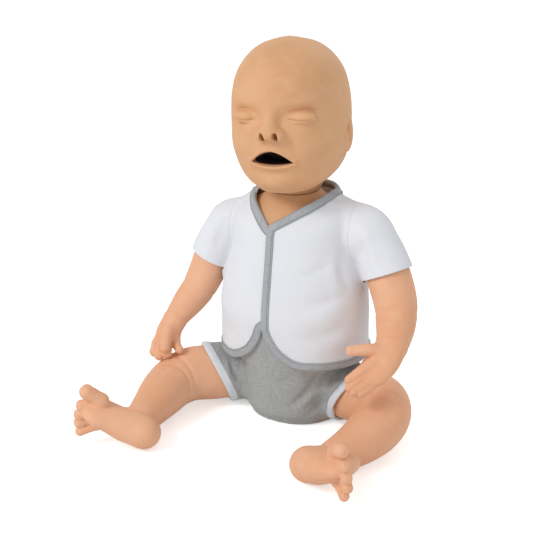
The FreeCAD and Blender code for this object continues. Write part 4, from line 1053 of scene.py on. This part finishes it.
shorts_folds = [
    (-3.2, 3.6, (-50, -46, 62), (-40, -50, 46), (-26, -52, 30), (-12, -51, 18)),
    (2.0, 4.0, (-44, -50, 58), (-34, -53, 42), (-22, -54, 28)),
    (-2.4, 3.2, (-56, -40, 64), (-50, -45, 48), (-42, -47, 30), (-34, -46, 16)),
    (1.6, 3.6, (-60, -38, 58), (-56, -42, 44), (-50, -44, 28)),
    (-3.4, 3.6, (52, -40, 62), (42, -47, 48), (30, -51, 34), (18, -52, 24)),
    (2.2, 4.0, (58, -36, 56), (48, -44, 42), (36, -49, 30), (24, -51, 20)),
    (-2.6, 3.2, (62, -32, 52), (54, -39, 36), (44, -44, 22), (34, -45, 12)),
    (1.8, 3.8, (66, -30, 46), (60, -35, 32), (52, -39, 20)),
    (-1.6, 3.0, (66, -32, 36), (60, -34, 24), (52, -36, 12)),
    (-0.9, 1.0, (-4, -58, 96), (-2, -57, 60), (4, -55, 34), (6, -50, 8)),
    (1.0, 6.0, (-24, -54, 70), (-10, -57, 62), (6, -57, 60)),
    (-1.2, 5.0, (24, -52, 66), (12, -55, 52), (2, -56, 44)),
    (-1.6, 4.0, (-48, 46, 66), (-40, 50, 44), (-34, 50, 22)),
    (-1.6, 4.0, (48, 46, 66), (40, 50, 44), (34, 50, 22)),
    (-0.8, 1.0, (0, 52, 94), (0, 53, 60), (0, 50, 20)),
]


def thigh_field(points, side, grow):
    sign = SIDES[side]
    rows = [(sign * (hip_plane - 14), 3, hip_height, *thigh_sizes),
            (sign * hip_plane, 0, hip_height, *thigh_sizes)]
    rows += leg_lines[side][:4]
    return tube(points, rows, grow)


def shorts_drape(points):
    """The shorts as one smooth form, from the waist to both leg ends."""
    fuller = cloth + cloth_gap + 0.4 + 2.4 * (1 - step_up(points[:, 2], 5.0, 24.0))
    found = np.maximum(level_field(trunk_outline, points, fuller), -points[:, 2])
    for side in SIDES:
        found = soft_union(found, thigh_field(points, side, cloth + cloth_gap + 0.5), 9.0)
    return found


def shorts_field(points):
    """Outer face of the shorts, flat where they rest."""
    return soft_common(shorts_drape(points) - folds(points, shorts_folds), 0.05 - points[:, 2], 1.0)


shorts_folds = laid(shorts_folds, shorts_drape)


def make_shorts(look, tree):
    points, quads = surface(shorts_field, (-112, -72, -3), (112, 62, 110), 1.4)
    faces = halves(quads)
    x, _, z = points.T
    pieces = {}
    leg_value = np.full(len(points), -1e3)
    limits = {}
    for side, sign in SIDES.items():
        point, normal = hem_ends[side]
        beyond = (points - np.array(point)) @ unit(normal)
        limits[side] = np.where(x * sign > 0, -beyond, 1e3)
        on_leg = np.minimum(x * sign - hip_plane + 0.2, 66.0 - z + 0.25 * (x * sign - hip_plane))
        pieces["shorts_leg_" + side] = np.minimum(on_leg, limits[side])
        leg_value = np.maximum(leg_value, on_leg)
    pieces["shorts_body"] = np.minimum(-leg_value, 106.5 - z)
    made = {}
    for name, value in pieces.items():
        kept_points, kept = clipped(points, faces, value)
        chart = body_chart(kept_points)
        made[name] = thicken(mesh_piece(name + "_cloth", kept_points, kept, look["grey"], chart), 1.6)
    for side in SIDES:
        normal = hem_ends[side][1]
        # the ring's middle lies on the thigh's middle line
        ring = round_ring(shorts_field, thigh_centre(side), normal)
        ring = resampled(ring, closed=True, rounds=2)
        inward = ring - unit(normal) * 10.0
        made["shorts_hem_" + side], seam = ribbon("hem_" + side, shorts_field, ring, inward, look["pale"],
                                                  width=7.5, closed=True, proud=0.8)
        made["hem_stitches_" + side] = stitches("hem_stitches_" + side, [np.concatenate([seam, seam[:1]])],
                                                tree["pale"])
    return made


def thigh_centre(side):
    """Where the thigh's middle line crosses the plane of the leg's hem."""
    point, normal = hem_ends[side]
    normal = unit(normal)
    rows = smooth_rows([(SIDES[side] * hip_plane, 0, hip_height, 28, 27)] + leg_lines[side], 8)
    ahead = (rows[:, :3] - np.array(point)) @ normal
    index = int(np.argmax(ahead > 0))
    share = ahead[index - 1] / (ahead[index - 1] - ahead[index])
    return rows[index - 1, :3] + (rows[index, :3] - rows[index - 1, :3]) * share


# ---------------------------------------------------------------- head


def head_frame(points):
    """Points brought into the head's own frame, before it was leaned and turned."""
    offset = points - neck_centre
    turn, lean = -radians(head_turn_rest), radians(head_lean_rest)
    x = offset[:, 0] * cos(turn) - offset[:, 1] * sin(turn)
    y = offset[:, 0] * sin(turn) + offset[:, 1] * cos(turn)
    z = offset[:, 2]
    return np.stack([x * cos(lean) + z * sin(lean), y, -x * sin(lean) + z * cos(lean)], 1) + neck_centre


head_rows = [(h, (f + b) / 2, w * w, ((b - f) / 2) ** 2) for h, f, b, w in head_levels]
head_rows = [(243.2, -26.0, 0.0, 0.0)] + head_rows + [(381.6, -5.0, 0.0, 0.0)]
head_outline = Outline(head_rows)


def head_value(points):
    depth, width2, depth2 = head_outline.at(points[:, 2])
    outside = np.maximum(243.2 - points[:, 2], points[:, 2] - 381.6)
    value = np.sqrt(points[:, 0] ** 2 / np.maximum(width2, 4.0)
                    + (points[:, 1] - depth) ** 2 / np.maximum(depth2, 4.0))
    return value + np.clip(outside, 0, None) * 1.5


def face_depth(x, z):
    """How far the soft forms of the face stand out, in front."""
    across = np.abs(x)
    form = 2.4 * hill(across, 36, 15) * hill(z, 286, 14)
    form += 1.2 * hill(across, 0, 30) * hill(z, 346, 16)
    form += 1.7 * hill(across, 27, 17) * hill(z, 331.0, 5.0)
    form -= 4.6 * hill(across, 24, 13) * hill(z, 320.5, 7.5)
    form -= 2.2 * hill(across, 10.0, 5) * hill(z, 318, 7)
    form += 2.2 * hill(across, 0, 20) * hill(z, 279, 11)
    form += 3.2 * hill(across, 0, 13) * hill(z, 256.5, 6.5)
    form -= 1.0 * hill(across, 0, 15) * hill(z, 266.5, 3.0)
    form -= 0.9 * hill(across - 17.5 - (298 - z) * 0.22, 0, 3.2) * hill(z, 292, 9)
    form -= 0.8 * hill(across, 0, 2.4) * hill(z, 291, 4.5)
    return form


def mouth_value(x, z, margin=0.0):
    """Below zero inside the mouth's outline."""
    x = x + 1.6
    share = np.clip(1 - (x / (20.3 + margin)) ** 2, 0.0, None)
    upper = 276.6 + (11.0 - margin * 0.3) * share**1.1
    lower = 276.6 - (3.0 + margin) * share
    return np.maximum(np.maximum(z - upper, lower - z) * 0.9, np.abs(x) - 20.3 - margin)


def head_field(points):
    own = head_frame(points)
    value = head_value(own)
    slopes = []
    for axis in range(3):
        shift = np.zeros(3)
        shift[axis] = 0.6
        slopes.append((head_value(own + shift) - value) / 0.6)
    steep = np.sqrt(sum(slope * slope for slope in slopes))
    found = (value - 1.0) / np.maximum(steep, 0.006)
    x, y, z = own.T
    across = np.abs(x)
    facing = step_up(-y, 18.0, 42.0)
    found = found - face_depth(x, z) * facing
    mirrored = np.stack([across, y, z], 1)
    # nose: bridge, tip and wings
    bridge = round_cone(own, (0, -67.5, 323), (0, -74.5, 309.0), 4.5, 6.5)
    found = soft_union(found, bridge, 8.0)
    found = soft_union(found, ellipsoid(own, (0, -76.0, 306.0), (9.2, 7.6, 7.2)), 5.0)
    found = soft_union(found, ellipsoid(mirrored, (8.8, -73.4, 303.2), (5.2, 6.2, 5.6)), 2.5)
    nostril = ellipsoid(mirrored, (6.0, -76.0, 302.6), (2.5, 13.0, 4.3))
    found = soft_common(found, -nostril, 1.2)
    # closed eyes: a rounded lid, its line, and soft creases above and below
    found = soft_union(found, ellipsoid(mirrored, (26.0, -59.3, 317.6), (13.2, 9.0, 6.8)), 3.0)
    bow = 316.8 - 1.5 * (1 - ((across - 26.0) / 13.5) ** 2)
    line = np.exp(-((z - bow) / 0.75) ** 2) * step_up(13.6 - np.abs(across - 26.0), 0.0, 5.0)
    under = np.exp(-((z - bow + 4.6) / 1.3) ** 2) * step_up(13.0 - np.abs(across - 25.0), 0.0, 5.0)
    over = np.exp(-((z - 324.2 + 0.02 * (across - 26) ** 2) / 1.4) ** 2)
    over = over * step_up(13.0 - np.abs(across - 26), 0, 5)
    found = found + (1.3 * line + 0.6 * under + 0.8 * over) * facing
    # mouth: a raised thin lip, and the open pocket
    rim = mouth_value(x, z)
    found = found - 1.5 * np.exp(-((rim - 1.8) / 1.7) ** 2) * facing
    pocket = np.maximum(rim, y + 37.0)
    deeper = np.maximum(np.maximum(mouth_value(x, z, 2.3), y + 36.0), -(y + 61.5))
    found = soft_common(found, -np.minimum(pocket, deeper), 1.0)
    # ears: a cupped shell with a hollow, a ridge in it and a tragus
    ear = ellipsoid(ear_frame(mirrored), (0, 0, 0), (5.2, 10.2, 18.4))
    found = soft_union(found, ear, 2.5)
    hollow = ellipsoid(ear_frame(mirrored), (6.2, -1.8, 2.6), (5.2, 6.2, 12.2))
    found = soft_common(found, -hollow, 2.0)
    ridge = ellipsoid(ear_frame(mirrored), (2.2, 1.6, 1.5), (2.4, 2.2, 8.0))
    found = soft_union(found, ridge, 2.0)
    tragus = ellipsoid(ear_frame(mirrored), (2.6, -7.6, -1.0), (2.6, 2.4, 4.2))
    found = soft_union(found, tragus, 2.0)
    # neck opening under the chin
    below = np.hypot(x, y + 4.0) - 30.3
    return soft_common(found, -np.maximum(below, z - 262.0), 1.5)


def ear_frame(points):
    offset = points - np.array([53.3, -8.0, 293.0])
    turn = radians(8.0)
    return np.stack([offset[:, 0] * cos(turn) - offset[:, 1] * sin(turn),
                     offset[:, 0] * sin(turn) + offset[:, 1] * cos(turn), offset[:, 2]], 1)


# ---------------------------------------------------------------- limbs

# depth, width, reach, place and heading of each crease
arm_creases = {
    "right": [(1.0, 1.3, 9.0, (-119, -39, 93), (-0.25, -0.7, -0.7)),
              (0.7, 1.6, 14.0, (-106, -16, 119), (-0.3, -0.5, -0.8))],
    "left": [(1.1, 1.3, 11.0, (121, -45, 110.5), (0.1, -0.8, -0.6)),
             (0.8, 1.8, 15.0, (114, -20, 131), (0.3, -0.6, -0.7))],
}
leg_creases = {
    "right": [(1.2, 1.8, 14.0, (-104, -139, 30), (0.2, -0.9, -0.3)),
              (0.9, 2.2, 24.0, (-109, -60, 52), (-0.2, -1.0, 0.0)),
              (0.7, 1.6, 20.0, (-100, -74, 34), (0.2, -1.0, 0.1))],
    "left": [(1.2, 1.8, 14.0, (92, -124, 30), (-0.45, -0.85, -0.2)),
             (0.9, 2.2, 22.0, (112, -42, 54), (0.3, -1.0, 0.0)),
             (0.7, 1.6, 20.0, (102, -56, 34), (-0.1, -1.0, 0.1))],
}


def creased(points, found, creases):
    """Skin creases, each a groove round the limb that fades with distance."""
    for depth, width, reach, place, normal in creases:
        offset = points - np.array(place, float)
        across = offset @ unit(normal)
        away = np.linalg.norm(offset, axis=1)
        found = found + depth * np.exp(-(across / width) ** 2) * step_up(reach * 1.9 - away, 0.0, reach)
    return found


def digit_field(points, row):
    root, middle, tip, root_radius, tip_radius = row
    knuckle = (root_radius + tip_radius) / 2
    first = round_cone(points, root, middle, root_radius, knuckle)
    second = round_cone(points, middle, tip, knuckle * 0.99, tip_radius)
    found = soft_union(first, second, 1.2)
    # a shallow crease across the joint
    across = (points - np.array(middle, float)) @ unit(np.array(tip, float) - np.array(root, float))
    return found + 0.45 * np.exp(-(across / 0.8) ** 2)


def nail(points, found, row, outward_way):
    """A small nail: a slightly raised plate with a groove round it."""
    middle, tip = np.array(row[1], float), np.array(row[2], float)
    along = unit(tip - middle)
    up = unit(np.array(outward_way) - along * (np.array(outward_way) @ along))
    radius = row[4]
    centre = tip + along * radius * 0.25 + up * radius * 0.85
    offset = points - centre
    size = radius * 0.62
    reach = np.sqrt(((offset @ along) / size) ** 2 + ((offset @ np.cross(along, up)) / (size * 0.9)) ** 2
                    + ((offset @ up) / (size * 1.4)) ** 2)
    return found - 0.25 * step_up(1.0 - reach, 0.0, 0.2) + 0.4 * np.exp(-((reach - 1.08) / 0.14) ** 2)


nail_ways = {"fingers_right": (-0.6, -0.75, 0.2), "fingers_left": (0.5, -0.6, 0.6),
             "toes_right": (-0.35, 0.4, 0.85), "toes_left": (0.2, -0.9, 0.4)}


def arm_field(points, side):
    ball = np.linalg.norm(points - shoulder_ball(side), axis=1) - shoulder_round[side]
    found = soft_union(tube(points, arm_lines[side]), ball, 5.0)
    palm = tube(points, hand_lines[side])
    found = soft_union(found, palm, 4.0)
    rows = fingers[side]
    curled = 1.3 if side == "right" else 1.6
    hand = None
    for row in rows:
        one = nail(points, digit_field(points, row), row, nail_ways["fingers_" + side])
        hand = one if hand is None else soft_union(hand, one, 0.9)
    found = soft_union(found, hand, curled * 2)
    found = creased(points, found, arm_creases[side])
    away = np.hypot(points[:, 1] - shoulder_y, points[:, 2] - shoulder_height[side])
    room = shoulder_plane + 12.1 * np.clip((away - 30.0) / 30.0, 0.0, 1.0)
    return soft_common(found, room - points[:, 0] * SIDES[side], 1.0)


def leg_field(points, side):
    sign = SIDES[side]
    rows = [(sign * (hip_plane - 14), 3, hip_height, *thigh_sizes),
            (sign * hip_plane, 0, hip_height, *thigh_sizes)]
    found = tube(points, rows + leg_lines[side])
    found = soft_union(found, tube(points, foot_lines[side]), 6.0)
    # the ball of the foot behind the toes, and the heel
    heel = foot_lines[side][0]
    found = soft_union(found, np.linalg.norm(points - np.array(heel[:3]), axis=1) - heel[3] - 0.4, 4.0)
    for row in toes[side]:
        base = np.array(row[0], float)
        pad = np.linalg.norm(points - base, axis=1) - row[3] * 1.04
        found = soft_union(found, pad, 4.0)
    tips = None
    for row in toes[side]:
        one = nail(points, digit_field(points, row), row, nail_ways["toes_" + side])
        tips = one if tips is None else soft_union(tips, one, 0.8)
    found = soft_union(found, tips, 2.2)
    found = creased(points, found, leg_creases[side])
    found = soft_common(found, hip_plane - points[:, 0] * sign, 1.0)
    return soft_common(found, 0.1 - points[:, 2], 2.0)


def make_limbs(look):
    pieces = {}
    for side in SIDES:
        for kind, field, step in (("arm", arm_field, 1.0), ("leg", leg_field, 1.15)):
            low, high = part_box(kind + "_" + side)
            low, high = np.array(low) * 1000 - 4, np.array(high) * 1000 + 4
            points, quads = surface(lambda spots: field(spots, side), low, high, step)
            pieces[kind + "_" + side] = mesh_piece(kind + "_" + side + "_form", points, quads, look["limb"])
    return pieces


# ---------------------------------------------------------------- putting it together


ambient = 0.57


def make_stage():
    material = bpy.data.materials.new("plain_floor")
    material.use_nodes = True
    tree = material.node_tree
    shader = next(node for node in tree.nodes if node.type == "BSDF_PRINCIPLED")
    shader.inputs["Base Color"].default_value = (0.93, 0.93, 0.93, 1.0)
    shader.inputs["Roughness"].default_value = 0.9
    shader.inputs["Specular IOR Level"].default_value = 0.1
    seen = tree.nodes.new("ShaderNodeLightPath")
    glow = Sock(tree, seen.outputs["Is Camera Ray"]) * 0.50
    shader.inputs["Emission Color"].default_value = (1.0, 1.0, 1.0, 1.0)
    tree.links.new(glow.socket, shader.inputs["Emission Strength"])
    size = 6.0
    mesh = bpy.data.meshes.new("floor")
    corners = [(-size, -size, 0), (size, -size, 0), (size, size, 0), (-size, size, 0)]
    mesh.from_pydata(corners, [], [(0, 1, 2, 3)])
    floor = bpy.data.objects.new("floor", mesh)
    mesh.materials.append(material)
    bpy.context.scene.collection.objects.link(floor)
    floor.location.z = -0.0002
    world = bpy.data.worlds.new("studio")
    bpy.context.scene.world = world
    world.use_nodes = True
    nodes, links = world.node_tree.nodes, world.node_tree.links
    back = nodes["Background"]
    back.inputs["Color"].default_value = (1.0, 1.0, 1.0, 1.0)
    path = nodes.new("ShaderNodeLightPath")
    tree = world.node_tree
    seen = Sock(tree, path.outputs["Is Camera Ray"]) + Sock(tree, path.outputs["Is Glossy Ray"])
    seen = seen + Sock(tree, path.outputs["Is Transmission Ray"])
    strength = (seen * (1.0 - ambient)).maths("MINIMUM", seen * (1.0 - ambient), 1.0 - ambient) + ambient
    links.new(strength.socket, back.inputs["Strength"])
    make_lamp("key", (-0.75, -1.35, 1.35), 0.7, 15.5)
    make_lamp("fill", (1.5, -0.9, 0.8), 1.2, 4.0)
    make_lamp("rim", (0.3, 1.4, 1.2), 1.0, 4.0)


def dress_frame(look):
    """Finishes for the mechanism inside and the skin that shows at the neck."""
    finish = {
        "trunk_skin": "trunk", "trunk_shell": "shell", "neck_post": "hard", "spring_guide": "hard",
        "guide_screws": "steel", "chest_plate": "shell", "lung_bag": "bag", "chest_spring": "steel",
        "click_disc": "steel", "skull_front": "shell", "skull_back": "shell", "skull_screws": "steel",
        # the mouth liner's dark finish is painted shade for the inside of the open mouth
        "neck_ball": "trunk", "neck_pins": "steel", "mouth_liner": "dark", "air_hose": "hose",
        "shoulder_plug_right": "hard", "shoulder_plug_left": "hard", "hip_plug_right": "hard",
        "hip_plug_left": "hard",
    }
    for name, key in finish.items():
        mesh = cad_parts[name].data
        mesh.materials.clear()
        mesh.materials.append(look[key])


def main():
    bpy.context.scene.view_settings.view_transform = "Standard"
    make_camera()
    make_stage()
    look = make_materials()
    dress_frame(look)
    tree = {"grey": stitch_tree(look["thread"]), "pale": stitch_tree(look["pale_thread"])}

    points, quads = surface(head_field, (-74, -92, 238), (72, 68, 386), 1.1)
    head = mesh_piece("head_form", points, quads, look["head"])
    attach(head, "head")
    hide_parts("head_skin")

    limbs = make_limbs(look)
    for name, piece in limbs.items():
        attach(piece, name)
        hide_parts(name)

    vest = make_vest(look)
    for name, piece in vest.items():
        side = name.split("_")[-1]
        if name.startswith("sleeve"):
            "arm_" + side
            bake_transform(piece)
        else:
            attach(piece, "trunk")
        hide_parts(name)
    for piece in underarms(look).values():
        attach(piece, "trunk")
    edges, seam_rows = vest_edges(look, tree)
    for piece in edges.values():
        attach(piece, "trunk")
    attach(seam_rows, "trunk")
    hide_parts("vest_binding")

    shorts = make_shorts(look, tree)
    for name, piece in shorts.items():
        side = name.split("_")[-1]
        if name == "shorts_body":
            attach(piece, "trunk")
            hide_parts(name)
        elif name.startswith("shorts_leg"):
            "leg_" + side
            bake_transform(piece)
            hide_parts(name)
        else:
            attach(piece, "leg_" + side)
            if name.startswith("shorts_hem"):
                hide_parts(name)


main()
